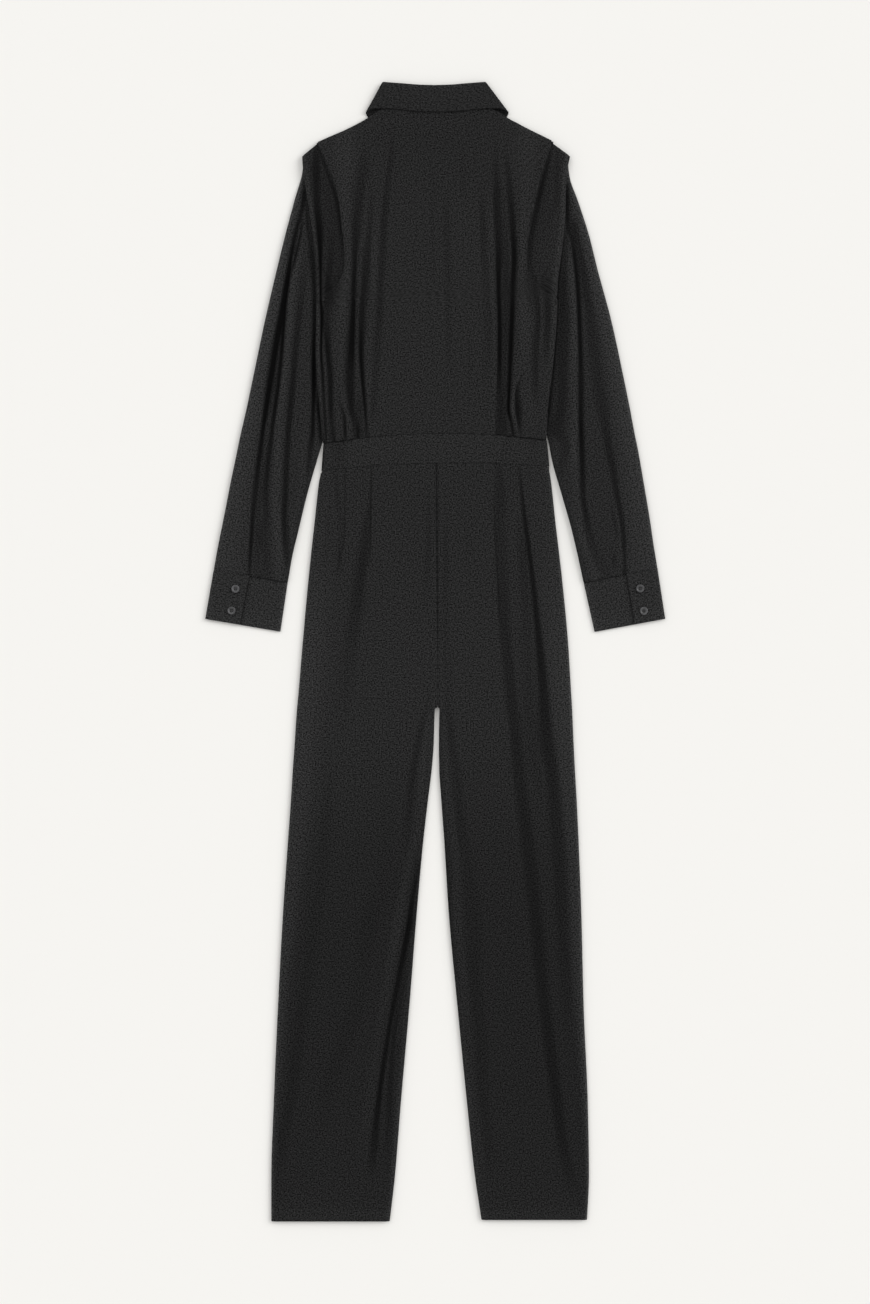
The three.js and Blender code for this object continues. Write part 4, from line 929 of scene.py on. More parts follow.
def sleeve_tube(side, sign):
    inner_out, inner_y, outer_out, outer_y = columns(SLEEVE[side], SECTION)
    shelf = column(SHELF[side], "y", "out")
    rim_width, rim_gain = columns(SLEEVE_RIM, "y width gain")
    last = SLEEVE[side][-1]["row"]
    bottom = layer(0)
    grid, shades = [], []
    for row in np.linspace(0, last, 131):
        start = np.array([inner_out(row) + CLOTH / 2, inner_y(row)])
        end = np.array([outer_out(row) - CLOTH / 2, outer_y(row)])
        width = np.linalg.norm(end - start)
        bend = min(TUBE_BEND, width / 8) / width
        to_cuff = ease(TO_CUFF, last, row)

        def surface(share):
            out, y = mix(start[0], end[0], share), mix(start[1], end[1], share)
            folds, shade = relief(SLEEVE_FOLDS[side], out, y, SLEEVE_DEPTH)
            rise = ease(*SHELF_RISE, out - shelf(y)) * mix(0.2, 1, ease(*FULL_WIDTH, width))
            from_edge = (1 - share) * width
            z = SHELF_Z + rise * (SLEEVE_HEIGHT - SHELF_Z + folds)
            z -= EDGE_FALL * rise * ease(EDGE_FALL_WIDTH, 0, from_edge)
            z = mix(z, layer(2) + 0.5 * folds * rise, to_cuff * 0.8)
            # Painted highlights along the outer edge, one wide and one narrow.
            painted_highlight = rim(from_edge, rim_width(y), rim_gain(y))
            return np.maximum(z, SHELF_Z), laid_over(shade, painted_highlight, rim(from_edge, 5, 0.4))

        share = np.linspace(bend, 1 - bend, 121)
        top, shade = surface(share)
        angle = HALF_TURN[1:-1]
        half_out, half_in = (top[-1] - bottom) / 2, (top[0] - bottom) / 2
        shares = np.concatenate(
            [share, 1 - bend * (1 - np.sin(angle)), np.linspace(1 - bend, bend, TABLE_POINTS),
             bend * (1 - np.sin(angle))]
        )
        z = np.concatenate(
            [top, bottom + half_out * (1 + np.cos(angle)), np.full(TABLE_POINTS, bottom),
             bottom + half_in * (1 - np.cos(angle))]
        )
        x = sign * mix(start[0], end[0], shares)
        grid.append(np.stack([x, mix(start[1], end[1], shares), z], -1))
        # The turned outer edge is painted brighter still: a painted highlight.
        turned = np.full(len(angle), shade[-1] - TURN_GLEAM)
        beneath = np.zeros(len(shares) - len(shade) - len(turned))
        shades.append(np.concatenate([shade, turned, beneath]))
    return wall(f"sleeve_tube_{side}", grid, shades, ring=True)


# %% Sleeve head
UNDER_SEAM = 4.0
HEAD_DEPTH = 3.2
HEAD_HEIGHT = 7.3
HEAD_EDGE_HEIGHT = 6.9
HEAD_EDGE = (6, 1.5)
HEAD_BEND = 1.8
HEAD_FLOOR = 4.5
HEAD_END = (8.9, 7.6)
SEAM_RISE = (0, 7)
BELOW_BACK = 1.4
SHADE_RUN = (0, 24)
UNSHADED_EDGE = (2, 8)


def sleeve_head(side, sign):
    inner_out, inner_y, outer_out, outer_y = columns(SLEEVE_HEAD[side], SECTION)
    inner_shade, outer_shade = columns(HEAD_SHADE[side], "y inner outer")
    grid, shades = [], []
    for row in np.concatenate([[0, 0.03, 0.1, 0.2, 0.35], np.linspace(0.5, 10, 72)]):
        seam = inner_out(row)
        start = np.array([seam - UNDER_SEAM * min(1, row * 2), inner_y(row)])
        end = np.array([outer_out(row) - CLOTH / 2, outer_y(row)])
        width = end[0] - start[0]
        bend = min(HEAD_BEND, width * 0.35)
        back = min(6.5, max(2.5, width * 0.4))
        share = np.linspace(0, 1 - bend / width, 45)
        out, y = mix(start[0], end[0], share), mix(start[1], end[1], share)
        folds, shade = relief(HEAD_FOLDS[side], out, y, HEAD_DEPTH)
        from_edge = end[0] - out
        z = HEAD_HEIGHT + folds
        z = mix(z, HEAD_EDGE_HEIGHT, ease(*HEAD_EDGE, from_edge))
        floor = mix(HEAD_FLOOR, layer(3), ease(OVERLAP + 3, OVERLAP, from_edge))
        z = mix(layer(3), np.maximum(z, floor), rolled(row * 12, 6))
        above, _ = bodice_height(sign * out, y, y)
        under = np.minimum(z, above - BELOW_BACK)
        z = mix(under, z, ease(*SEAM_RISE, out - seam) * ease(*HEAD_END, row))
        # Painted shade over the head, fading out before its turned edge.
        base = mix(inner_shade(y), outer_shade(y), ease(*SHADE_RUN, out - seam))
        shade = laid_over(shade, base * ease(*UNSHADED_EDGE, from_edge))
        angle = HALF_TURN[1:]
        low = layer(2)
        turned_out = end[0] - bend + bend * np.sin(angle)
        turned_z = mix(low, z[-1], (1 + np.cos(angle)) / 2)
        beneath = np.array([0.45, 0.8, 1.0])
        outs = np.concatenate([out, turned_out, end[0] - bend - back * beneath])
        ys = np.concatenate([y, np.full(len(outs) - len(y), end[1])])
        zs = np.concatenate([z, turned_z, [low, low - 0.1, layer(1) + 0.1]])
        grid.append(np.stack([sign * outs, ys, zs], -1))
        shades.append(np.concatenate([shade, np.full(len(outs) - len(out), shade[-1])]))
    return wall(f"sleeve_head_{side}", grid, shades)


SLEEVES = {}
for side, sign in SIDES:
    sleeve = joined(f"sleeve_piece_{side}", sleeve_tube(side, sign), sleeve_head(side, sign))
    SLEEVES[side] = finish_cloth(sleeve, CREPE, f"sleeve_{side}")

# %% [markdown]
# Cuffs
#
# A cuff is a stiffened band wound once round, with its end lapped over its start and
# buttoned down. One long sheet spirals from layer 1 round the inner edge, along the
# table, round the outer edge and over its own start on layer 2, which gives the lap its
# real step. The shadow beside the lap and the gleam of the edges are painted, as are a
# faint dark line at the top seam and a brightening of the whole cuff that grows towards
# its lower edge.

# %% Cuffs
CUFF = {
    "left": {
        "top": ((194.3, 92.15), (292.1, 108.15)), "low": ((204, 26.8), (303.2, 43.6)),
        "lap": (0.518, 0.542),
    },
    "right": {
        "top": ((196.1, 91.65), (293.5, 111.15)), "low": ((210.6, 26.5), (303.8, 43.8)),
        "lap": (0.58, 0.57),
    },
}
CUFF_WIDTH = 98.0
CUFF_PUFF = 0.5
CUFF_LAP = 0.24
CUFF_BENDS = (1.2, 1.9)
CUFF_POINTS = {"under": 22, "table": 18, "over": 20}
BY_LAP_POINTS = 30
LAP_SHADE = 0.5
LAP_SHADE_WIDTH = 4.5
CUFF_SEAM_SHADE = 0.14
CUFF_TONE = {"top": -0.14, "low": -0.34}


def cuff(side, sign):
    shape = CUFF[side]
    top, low = np.array(shape["top"]), np.array(shape["low"])
    grid, shades = [], []
    for down in np.linspace(0, 1, 23):
        puff = CUFF_PUFF * math.sin(math.pi * min(1, down * 1.02))
        under, over = layer(1) + puff, layer(2) + puff
        lap = mix(*shape["lap"], down)
        edge = 0.5 * CLOTH / CUFF_WIDTH
        bend_in, bend_out = (bend / CUFF_WIDTH for bend in CUFF_BENDS)
        angle = HALF_TURN[1:-1]
        share = np.concatenate(
            [np.linspace(lap + CUFF_LAP, edge + bend_in, CUFF_POINTS["under"]),
             edge + bend_in * (1 - np.sin(angle)),
             np.linspace(edge + bend_in, 1 - edge - bend_out, CUFF_POINTS["table"]),
             1 - edge - bend_out * (1 - np.sin(angle)),
             np.linspace(1 - edge - bend_out, lap, CUFF_POINTS["over"])]
        )
        z = np.concatenate(
            [np.full(CUFF_POINTS["under"], under), mix(layer(0), under, (1 + np.cos(angle)) / 2),
             np.full(CUFF_POINTS["table"], layer(0)),
             mix(over, layer(0), (1 + np.cos(angle)) / 2), np.full(CUFF_POINTS["over"], over)]
        )
        start, end = mix(top[0], low[0], down), mix(top[1], low[1], down)
        out = mix(start[0], end[0], share)
        y = mix(start[1], end[1], share)
        grid.append(np.stack([sign * out, y, z], -1))
        # Painted shadow beside the lap, painted highlights along the edges, a painted dark line at
        # the top seam and a painted brightening towards the lower edge.
        past_lap = (lap - share) * CUFF_WIDTH
        beside_lap = np.arange(len(share)) < BY_LAP_POINTS
        by_lap = np.where(beside_lap, ease(LAP_SHADE_WIDTH, 0, past_lap), 0)
        from_edge = np.minimum(share, 1 - share) * CUFF_WIDTH
        edges = laid_over(rim(from_edge, 10, 0.2), rim(from_edge, 3, 0.6))
        tone = mix(CUFF_TONE["top"], CUFF_TONE["low"], ease(0.5, 1, down))
        seam = CUFF_SEAM_SHADE * ease(0.05, 0, down)
        shades.append(laid_over(LAP_SHADE * by_lap, edges, tone, seam))
    return wall(f"cuff_piece_{side}", grid, shades, wrapped=True)


CUFFS = {side: finish_cloth(cuff(side, sign), CREPE_BAND, f"cuff_{side}") for side, sign in SIDES}

# %% [markdown]
# Cuff buttons
#
# Each is a small turned button with a raised rim and four holes. It starts as a disc,
# whose top face is inset and pushed down to leave the rim, and a bevel softens its edges.
# The well inside the rim has a darker copy of the material: painted shade, for the shade that
# gathers there.
# Modelling one and copying it keeps the four alike, as buttons from one card are.

# %% Button material
BUTTON = bpy.data.materials.new("grey_button")
BUTTON.use_nodes = True
nodes, links = BUTTON.node_tree.nodes, BUTTON.node_tree.links
shader = nodes["Principled BSDF"]
shader.inputs["Metallic"].default_value = 0
shader.inputs["Specular IOR Level"].default_value = 0.5
shader.inputs["Coat Weight"].default_value = 0.15
place = nodes.new("ShaderNodeTexCoord")
swirl = nodes.new("ShaderNodeTexNoise")
swirl.inputs["Scale"].default_value = 220
swirl.inputs["Detail"].default_value = 3
swirl.inputs["Distortion"].default_value = 1.5
links.new(place.outputs["Object"], swirl.inputs["Vector"])
tone = nodes.new("ShaderNodeValToRGB")
tone.color_ramp.elements[0].position = 0.35
tone.color_ramp.elements[0].color = (0.035, 0.035, 0.036, 1)
tone.color_ramp.elements[1].position = 0.65
tone.color_ramp.elements[1].color = (0.075, 0.075, 0.078, 1)
links.new(swirl.outputs["Fac"], tone.inputs["Fac"])
links.new(tone.outputs["Color"], shader.inputs["Base Color"])
shader.inputs["Roughness"].default_value = 0.38

# A darker copy of the button's material paints the shade in the well.
WELL = BUTTON.copy()
WELL.name = "grey_button_painted_shade"
well_tone = next(node for node in WELL.node_tree.nodes if node.type == "VALTORGB")
well_tone.color_ramp.elements[0].color = (0.012, 0.012, 0.012, 1)
well_tone.color_ramp.elements[1].color = (0.03, 0.03, 0.031, 1)
print("materials", [m.name for m in (BUTTON, WELL)])

# %% Button model
BUTTON_RADIUS = 5.25 * MM
BUTTON_HEIGHT = 2.2 * MM
RIM_SHARE = 0.26
SLOPE_SHARE = 0.12
WELL_DEPTH = 0.36 * BUTTON_HEIGHT
BEVEL = 0.45 * MM
HOLES = 4
HOLE_RADIUS = 0.65 * MM
HOLE_FROM_CENTRE = 1.45 * MM
WELL_SHARE = 0.5


def button_model():
    deselect()
    bpy.ops.mesh.primitive_cylinder_add(
        vertices=48, radius=BUTTON_RADIUS, depth=BUTTON_HEIGHT, location=(0, 0, BUTTON_HEIGHT / 2)
    )
    piece = bpy.context.object
    bpy.ops.object.transform_apply(location=True)
    bpy.ops.object.mode_set(mode="EDIT")
    bpy.ops.mesh.select_mode(type="FACE")
    bpy.ops.mesh.select_all(action="DESELECT")
    shape = bmesh.from_edit_mesh(piece.data)
    for face in shape.faces:
        face.select = face.normal.z > 0.9
    bmesh.update_edit_mesh(piece.data)
    bpy.ops.mesh.inset(thickness=BUTTON_RADIUS * RIM_SHARE)
    bpy.ops.mesh.inset(thickness=BUTTON_RADIUS * SLOPE_SHARE)
    bpy.ops.transform.translate(value=(0, 0, -WELL_DEPTH))
    bpy.ops.mesh.inset(thickness=BUTTON_RADIUS * 0.1)
    bpy.ops.object.mode_set(mode="OBJECT")
    bevel = piece.modifiers.new("soft edge", "BEVEL")
    bevel.width = BEVEL
    bevel.segments = 3
    bevel.angle_limit = math.radians(35)
    for i in range(HOLES):
        angle = math.pi / 4 + i * math.pi / 2
        bpy.ops.mesh.primitive_cylinder_add(
            vertices=20, radius=HOLE_RADIUS, depth=4 * BUTTON_HEIGHT,
            location=(HOLE_FROM_CENTRE * math.cos(angle), HOLE_FROM_CENTRE * math.sin(angle), 0),
        )
        drill = bpy.context.object
        cut = piece.modifiers.new(f"hole {i}", "BOOLEAN")
        cut.object = drill
        cut.operation = "DIFFERENCE"
        cut.solver = "EXACT"
        bpy.context.view_layer.objects.active = piece
        if i == 0:
            bpy.ops.object.modifier_apply(modifier="soft edge")
        bpy.ops.object.modifier_apply(modifier=cut.name)
        bpy.data.objects.remove(drill)
    piece.data.materials.clear()
    piece.data.materials.append(BUTTON)
    piece.data.materials.append(WELL)
    for face in piece.data.polygons:
        in_well = face.center.to_2d().length < WELL_SHARE * BUTTON_RADIUS
        face.material_index = int(in_well)
    smooth(piece, 35)
    return piece


BUTTON_PLACES = {
    "left": {"upper": (263.1, 83.3), "lower": (268.3, 54.6)},
    "right": {"upper": (270.6, 83.8), "lower": (275.4, 54.2)},
}
pattern = button_model()
seat = layer(2) + CUFF_PUFF + CLOTH / 2 + SEAM
for side, sign in SIDES:
    for place_name, (out, y) in BUTTON_PLACES[side].items():
        button = pattern.copy()
        button.data = pattern.data.copy()
        button.name = f"button_{side}_{place_name}"
        bpy.context.collection.objects.link(button)
        button.data.transform(Matrix.Translation(Vector((sign * out, y, seat)) * MM))
        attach(button, "root")
        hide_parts(f"cuff_button_{side}_{place_name}")
bpy.data.objects.remove(pattern)
print("buttons, each", round(BUTTON_RADIUS * 2000, 1), "mm across")

# %% [markdown]
# Waistband
#
# A shaped band, cut slightly arched and interfaced, so it stays smoother than the cloth
# above and below it. Its ends roll down over the side seams to the front halves.


# %% Waistband back
BAND_HEIGHT = 4.7
ROLL = 7.0
ROLL_STEPS = 7


def spread(start, end, count):
    """Places from one edge to the other, closer together over the rolled edges."""
    angle = np.linspace(0, math.pi / 2, ROLL_STEPS + 1)[:-1]
    rolls = ROLL * (1 - np.cos(angle))
    between = np.linspace(start + ROLL, end - ROLL, count)
    return np.concatenate([start + rolls, between, end - rolls[::-1]])


WAISTBAND_ENDS = {"top": (-146.8, 147.2), "low": (-149.4, 150.4)}
WAISTBAND_DEPTH = 3.0
WAISTBAND_PUFF = 0.5
# Shallow dents in the band, each darkened with painted shade.
WAISTBAND_FOLDS = [
    fold("right dent", (282, 96, 8, 8, 0.1), (246, 88, 8, 8, 0.05)),
    fold("right end dent", (282, 130, 9, 9, 0.08), (246, 126, 8, 8, 0.04)),
    fold("left end dent", (274, -128, 18, 18, 0.2), (246, -128, 16, 16, 0.12)),
]


def waistband_back():
    grid, shades = [], []
    for down in np.linspace(0, 1, 23):
        start = mix(WAISTBAND_ENDS["top"][0], WAISTBAND_ENDS["low"][0], down)
        end = mix(WAISTBAND_ENDS["top"][1], WAISTBAND_ENDS["low"][1], down)
        x = spread(start, end, 150)
        y = mix(waist_top(x), waist_bottom(x) + SEAM, down)
        folds, shade = relief(WAISTBAND_FOLDS, x, y, WAISTBAND_DEPTH)
        middle = BAND_HEIGHT + WAISTBAND_PUFF * math.sin(math.pi * down) + folds
        z = mix(layer(1), middle, rolled(np.minimum(x - start, end - x), ROLL))
        grid.append(np.stack([x, y, z], -1))
        shades.append(shade)
    return wall("waistband_piece_back", grid, shades)


BAND = finish_cloth(waistband_back(), CREPE_BAND, "waistband_back")

# %% [markdown]
# Trousers
#
# Each leg is a back panel over a front panel, joined at the side and the inseam. The
# back carries the darts below the waistband and the long soft folds that run down from
# them. It curves down at its free edges and lies flat against its twin at the centre
# back seam, where two turned edges meet in a fine line: a shallow dip in the cloth,
# darkened with painted shade. Above the crotch the front seam lies two millimetres beside
# the back seam, as laid cloth slips, so no gap goes through both. The tone table paints
# shade down the length of a leg, darker from the knee down, and the rim table paints
# highlights along its edges.

# %% Leg tables
LEG = {
    "left": table(
        "y outer inner",
        (240, 149.8, -1.7), (226, 152.7, -1.9), (176, 158.4, -2.2), (97, 166.9, -2.8),
        (18, 174.1, -3.2), (-72, 181.8, -3.4), (-75, 182.1, 0.2), (-90, 183.3, 1.2),
        (-122, 185.3, 2.2), (-154, 187.6, 4.7), (-196, 190.2, 9.8), (-249, 194, 15.9),
        (-344, 200.6, 24.5), (-471, 207.4, 34.6), (-597, 212.9, 45.7), (-692, 216, 53.4),
        (-751, 216, 60.2),
    ),
    "right": table(
        "y outer inner",
        (240, 150.8, 2), (226, 153, 2.2), (176, 158.4, 2.5), (97, 167.6, 3.1), (18, 175.2, 3.5),
        (-72, 180.8, 3.7), (-75, 181, 6), (-90, 181.6, 5.9), (-122, 183, 5.6), (-154, 184.6, 6),
        (-196, 187, 8.8), (-249, 189.5, 12.6), (-344, 193.1, 18.6), (-471, 196.3, 30.4),
        (-597, 201.7, 42.9), (-692, 203.2, 53.2), (-749, 200.6, 61.8),
    ),
}
LEG_HEM = {"left": -751, "right": -749}
for side, _ in SIDES:
    hem = LEG[side][-1]
    print("the", side, "hem is", round(hem["outer"] - hem["inner"], 1), "mm across")

# %% Folds of the trousers
LEG_DEPTH = 2.2
LEG_FOLDS = {
    "left": [
        fold("dart line",
             (250, 84.4, 2, 2, 0.3), (210, 84.5, 2, 2, 0.4), (170, 84.8, 2, 2.4, 0.42),
             (130, 85.6, 2, 3, 0.36), (108, 88, 2.4, 4, 0)),
        fold("dart",
             (226, 86, 2, 3, 0), (200, 86.5, 2.5, 4, 0.16), (185, 87, 3, 7, 0.26),
             (170, 88, 4, 12, 0.3), (145, 90, 5, 15, 0.36), (120, 93, 6, 17, 0.4),
             (90, 98, 8, 17, 0.36), (60, 103, 13, 15, 0.32), (0, 113, 14, 14, 0.16),
             (-60, 118, 14, 14, 0.08), (-120, 122, 14, 14, 0)),
        fold("outer dart",
             (248, 131, 4, 4, 0.1), (210, 129.5, 4.5, 4.5, 0.2), (170, 125, 5, 5, 0.14),
             (120, 127, 5, 5, 0.2), (95, 128, 5, 5, 0)),
        fold("second outer dart",
             (248, 118.5, 2, 2, 0.24), (200, 119, 2, 2, 0.26), (158, 119.5, 2, 2.5, 0.26),
             (120, 126, 2, 3, 0.2), (99, 130.5, 2, 3, 0)),
        fold("hip crease",
             (200, 140, 4, 4, 0), (170, 141, 6, 6, 0.1), (120, 149, 8, 4, 0.1),
             (90, 154, 8, 4, 0)),
        fold("seat valley",
             (215, 7, 4, 4, 0), (170, 7.5, 4, 5, 0.16), (120, 10, 6, 7, 0.16),
             (70, 12, 6, 7, 0.06), (40, 13, 6, 6, 0)),
        fold("edge of the light",
             (-150, 140, 8, 6, 0), (-220, 145, 12, 8, 0.1), (-290, 150, 14, 8, 0.1),
             (-360, 160, 14, 12, 0.1), (-430, 170, 14, 13, 0.14), (-500, 179, 14, 13, 0.18),
             (-580, 190, 13, 11, 0.2), (-650, 202, 11, 8, 0.2), (-700, 206, 8, 6, 0)),
        fold("second valley",
             (-180, 64, 14, 14, 0), (-220, 64, 14, 14, 0.06), (-290, 68, 18, 18, 0.06),
             (-360, 88, 22, 18, 0.13), (-430, 98, 20, 16, 0.08), (-500, 115, 20, 18, 0.11),
             (-580, 142, 16, 16, 0.08), (-640, 150, 14, 14, 0)),
        fold("inner valley",
             (-40, 8, 4, 4, 0), (-74, 12, 4, 5, 0.12), (-110, 20, 5, 8, 0.26),
             (-160, 28, 5, 10, 0.3), (-220, 35.5, 7, 9, 0.2), (-270, 42, 6, 8, 0)),
        fold("inner glow",
             (-70, 8, 4, 4, 0), (-110, 12, 4, 4, -0.16), (-160, 18, 6, 5, -0.18),
             (-220, 21, 6, 7, -0.2), (-290, 37, 6, 8, -0.24), (-360, 49, 8, 12, -0.32),
             (-430, 61, 7, 12, -0.25), (-500, 73, 6, 10, -0.16), (-580, 84, 7, 14, -0.14),
             (-650, 93, 8, 14, -0.08), (-700, 96, 8, 10, 0)),
        fold("inseam fold",
             (-262, 20, 3, 4, 0), (-290, 23.4, 4, 6, 0.42), (-325, 29.6, 5, 6, 0.66),
             (-360, 35.2, 8, 5.5, 0.8), (-430, 48.3, 7, 5.5, 0.68), (-500, 61.2, 5.5, 5, 0.66),
             (-580, 72.8, 5, 6, 0.72), (-650, 80, 7, 9, 0.44), (-700, 84, 8, 9, 0)),
        fold("inseam crease",
             (-390, 34, 5, 5, 0), (-430, 40, 5, 5, 0.2), (-465, 47, 5, 5, 0.3),
             (-500, 54, 5, 4, 0.4), (-580, 60, 6, 6, 0.38), (-650, 63, 7, 7, 0.16),
             (-690, 65, 7, 7, 0)),
    ],
    "right": [
        fold("hip valley",
             (252, 84, 8, 9, 0.18), (236, 84, 8, 9, 0.22), (210, 84, 8, 14, 0.28),
             (170, 82, 5, 17, 0.26), (120, 84.5, 5, 17, 0.27), (60, 88, 7, 15, 0.32),
             (0, 94, 11, 12, 0.36), (-60, 100, 12, 13, 0.38), (-110, 103.5, 8, 17, 0.42),
             (-160, 110, 13, 14, 0.38), (-220, 117, 13, 15, 0.38), (-290, 126, 15, 14, 0.36),
             (-360, 133, 13, 14, 0.38), (-430, 139, 12, 14, 0.38), (-500, 148, 12, 13, 0.4),
             (-580, 158, 11, 13, 0.42), (-650, 168, 11, 11, 0.34), (-710, 183, 14, 10, 0.1),
             (-740, 190, 12, 8, 0)),
        fold("line in the hip valley",
             (215, 77, 2, 2, 0), (190, 77.6, 2, 2.4, 0.28), (150, 79, 2, 2.4, 0.36),
             (104, 81.4, 2, 3, 0.36), (60, 83.4, 2.4, 3, 0.3), (15, 87, 3, 4, 0)),
        fold("dart fold",
             (250, 111, 3, 2.4, 0.16), (236, 112, 4, 2.6, 0.26), (210, 114.5, 4.5, 3, 0.5),
             (170, 119.5, 6, 3.6, 0.64), (120, 126, 6, 4.4, 0.66), (60, 132.5, 7, 6, 0.64),
             (0, 138, 8, 9, 0.64), (-60, 143.5, 12, 11, 0.56), (-110, 147.5, 18, 13, 0.5),
             (-160, 154, 14, 14, 0.46), (-220, 160, 16, 14, 0.4), (-290, 166, 16, 14, 0.34),
             (-360, 169, 14, 14, 0.26), (-430, 172, 13, 13, 0.18), (-500, 174, 12, 12, 0.05),
             (-560, 178, 12, 12, 0)),
        fold("hollow by the dart fold",
             (185, 112, 8, 6, 0), (150, 115, 12, 8, 0.18), (110, 117, 12, 8, 0.24),
             (60, 120, 12, 8, 0.18), (0, 122, 14, 10, 0.14), (-80, 124, 16, 14, 0.18),
             (-140, 130, 16, 14, 0.16), (-220, 142, 12, 10, 0)),
        fold("seat valley",
             (190, 12.5, 4, 4, 0), (120, 14, 5, 6, 0.17), (60, 13, 6, 8, 0.1),
             (-60, 18, 8, 8, 0.08), (-90, 20, 6, 6, 0.08)),
        fold("second seat valley", (180, 43, 4, 4, 0), (135, 43, 6, 6, 0.08), (95, 43, 4, 4, 0)),
        fold("inner valley",
             (-60, 14, 5, 6, 0), (-74, 16, 5, 6, 0.08), (-110, 20, 6, 9, 0.2),
             (-160, 27, 7, 11, 0.2), (-220, 32, 8, 11, 0.22), (-290, 43, 14, 14, 0.1),
             (-360, 50, 15, 18, 0.15), (-430, 52, 12, 13, 0.17), (-500, 58, 11, 15, 0.16),
             (-580, 62, 10, 13, 0.16), (-650, 69, 10, 12, 0.1), (-700, 72, 10, 12, 0)),
        fold("inner glow",
             (-70, 10, 4, 4, 0), (-110, 12, 5, 5, -0.08), (-160, 15, 6, 6, -0.14),
             (-220, 19, 6, 8, -0.24), (-290, 26, 8, 12, -0.22), (-360, 27, 6, 12, -0.26),
             (-430, 36, 8, 9, -0.24), (-500, 41, 8, 9, -0.2), (-580, 49, 8, 8, -0.2),
             (-650, 57, 8, 9, -0.18), (-720, 63, 6, 9, -0.05)),
    ],
}
# Painted shade down the length of a leg: darker from the knee down.
LEG_PAINTED_SHADE = table(
    "y shade", (240, 0.02), (120, 0), (0, -0.04), (-80, -0.03), (-120, 0), (-160, 0.05),
    (-220, 0.15), (-290, 0.25), (-360, 0.28), (-500, 0.29), (-620, 0.27), (-710, 0.22),
    (-733, 0.16), (-741, 0.05), (-751, 0.05),
)
# Width and strength of the painted highlight along a leg's outer edge, and its strength along the
# inner edge.
LEG_RIM = table(
    "y width gain inner", (240, 30, 0.06, 0), (120, 42, 0.24, 0), (0, 48, 0.42, 0),
    (-80, 48, 0.46, 0), (-110, 48, 0.46, 0.1), (-220, 46, 0.6, 0.1), (-290, 36, 0.74, 0.05),
    (-360, 30, 0.84, 0.05), (-430, 20, 0.9, 0.3), (-500, 16, 0.9, 0.5), (-580, 12, 0.8, 0.9),
    (-650, 8, 0.6, 0.8), (-751, 5, 0.3, 0.4),
)
print("folds of the trousers", {side: len(LEG_FOLDS[side]) for side, _ in SIDES})


# %% Trouser panels
LEG_HEIGHT = 4.9
CROTCH_Y = -72.0
LEG_TOP = 246
FRONT_TOP = 236
LEG_FIT = 200
CROTCH_STEPS = np.array([0, 0.8, 1.6, 2.4, 3.2])
SEAM_DIP = 0.5
SEAM_DIP_WIDTH = 3
# A painted dark line along the centre back seam, above the crotch.
SEAM_SHADE = 0.5
SEAM_SHADE_WIDTH = 2
SEAM_SHADE_ABOVE = (-10, 40)


def leg_rows(top, hem, count):
    """Rows down a leg, close together where the gap between the legs starts."""
    rows = np.concatenate([np.linspace(top, hem, count), CROTCH_Y - CROTCH_STEPS])
    return np.sort(rows)[::-1]


def trouser_back(side, sign):
    outer, inner = columns(LEG[side], "y outer inner")
    tone = column(LEG_PAINTED_SHADE, "y", "shade")
    rim_width, rim_gain, inner_gain = columns(LEG_RIM, "y width gain inner")
    grid, shades = [], []
    for y in leg_rows(LEG_TOP, LEG_HEM[side], 221):
        free_inside = ease(CROTCH_Y + 10, CROTCH_Y - 40, y)
        start, end = inner(y) + SEAM / 6, outer(y) - CLOTH / 2
        out = spread(start, end, 142)
        folds, shade = relief(LEG_FOLDS[side], out, y, LEG_DEPTH)
        height = np.maximum(LEG_HEIGHT + folds, layer(1) + 0.3)
        height = height - SEAM_DIP * (1 - free_inside) * ease(SEAM_DIP_WIDTH, 0, out - start)
        in_roll = mix(1, rolled(out - start, ROLL), free_inside)
        z = mix(layer(1), height, in_roll * rolled(end - out, ROLL))
        x = sign * out
        fit = ease(LEG_FIT, LEG_TOP, y) * (waist_bottom(x) - LEG_TOP)
        grid.append(np.stack([x, y + fit, z], -1))
        # Painted highlights along the edges, and the painted shade of the leg, its folds and its
        # seam.
        painted_highlight = rim(end - out, rim_width(y), rim_gain(y))
        edges = laid_over(rim(end - out, 4, 0.8), rim(out - start, 8, inner_gain(y)))
        seam = SEAM_SHADE * ease(SEAM_SHADE_WIDTH, 0, out - start) * ease(*SEAM_SHADE_ABOVE, y)
        shades.append(laid_over(shade, tone(y), painted_highlight, edges, seam))
    return wall(f"trouser_piece_back_{side}", grid, shades)


def plate(name, rows, start, end, y_at, z_at, count):
    """A flat panel on the table: rows of places from one edge to the other."""
    grid = []
    for y in rows:
        x = np.linspace(start(y), end(y), count)
        grid.append(np.stack([x, y_at(x, y) + 0 * x, z_at(x, y) + 0 * x], -1))
    return wall(name, grid)


FRONT_SEAM_SHIFT = 2.0


def trouser_front(side, sign):
    outer, inner = columns(LEG[side], "y outer inner")
    rows = leg_rows(FRONT_TOP, LEG_HEM[side] + 1, 90)

    def seam(y):
        shift = FRONT_SEAM_SHIFT * ease(CROTCH_Y, CROTCH_Y + 16, y)
        return sign * (inner(y) + SEAM / 4) + shift

    return plate(
        f"trouser_piece_front_{side}", rows, seam, lambda y: sign * outer(y),
        lambda x, y: y, lambda x, y: layer(0), 14,
    )


LEGS = {}
for side, sign in SIDES:
    LEGS["back", side] = finish_cloth(trouser_back(side, sign), CREPE, f"trouser_back_{side}")
    LEGS["front", side] = finish_cloth(trouser_front(side, sign), CREPE, f"trouser_front_{side}")

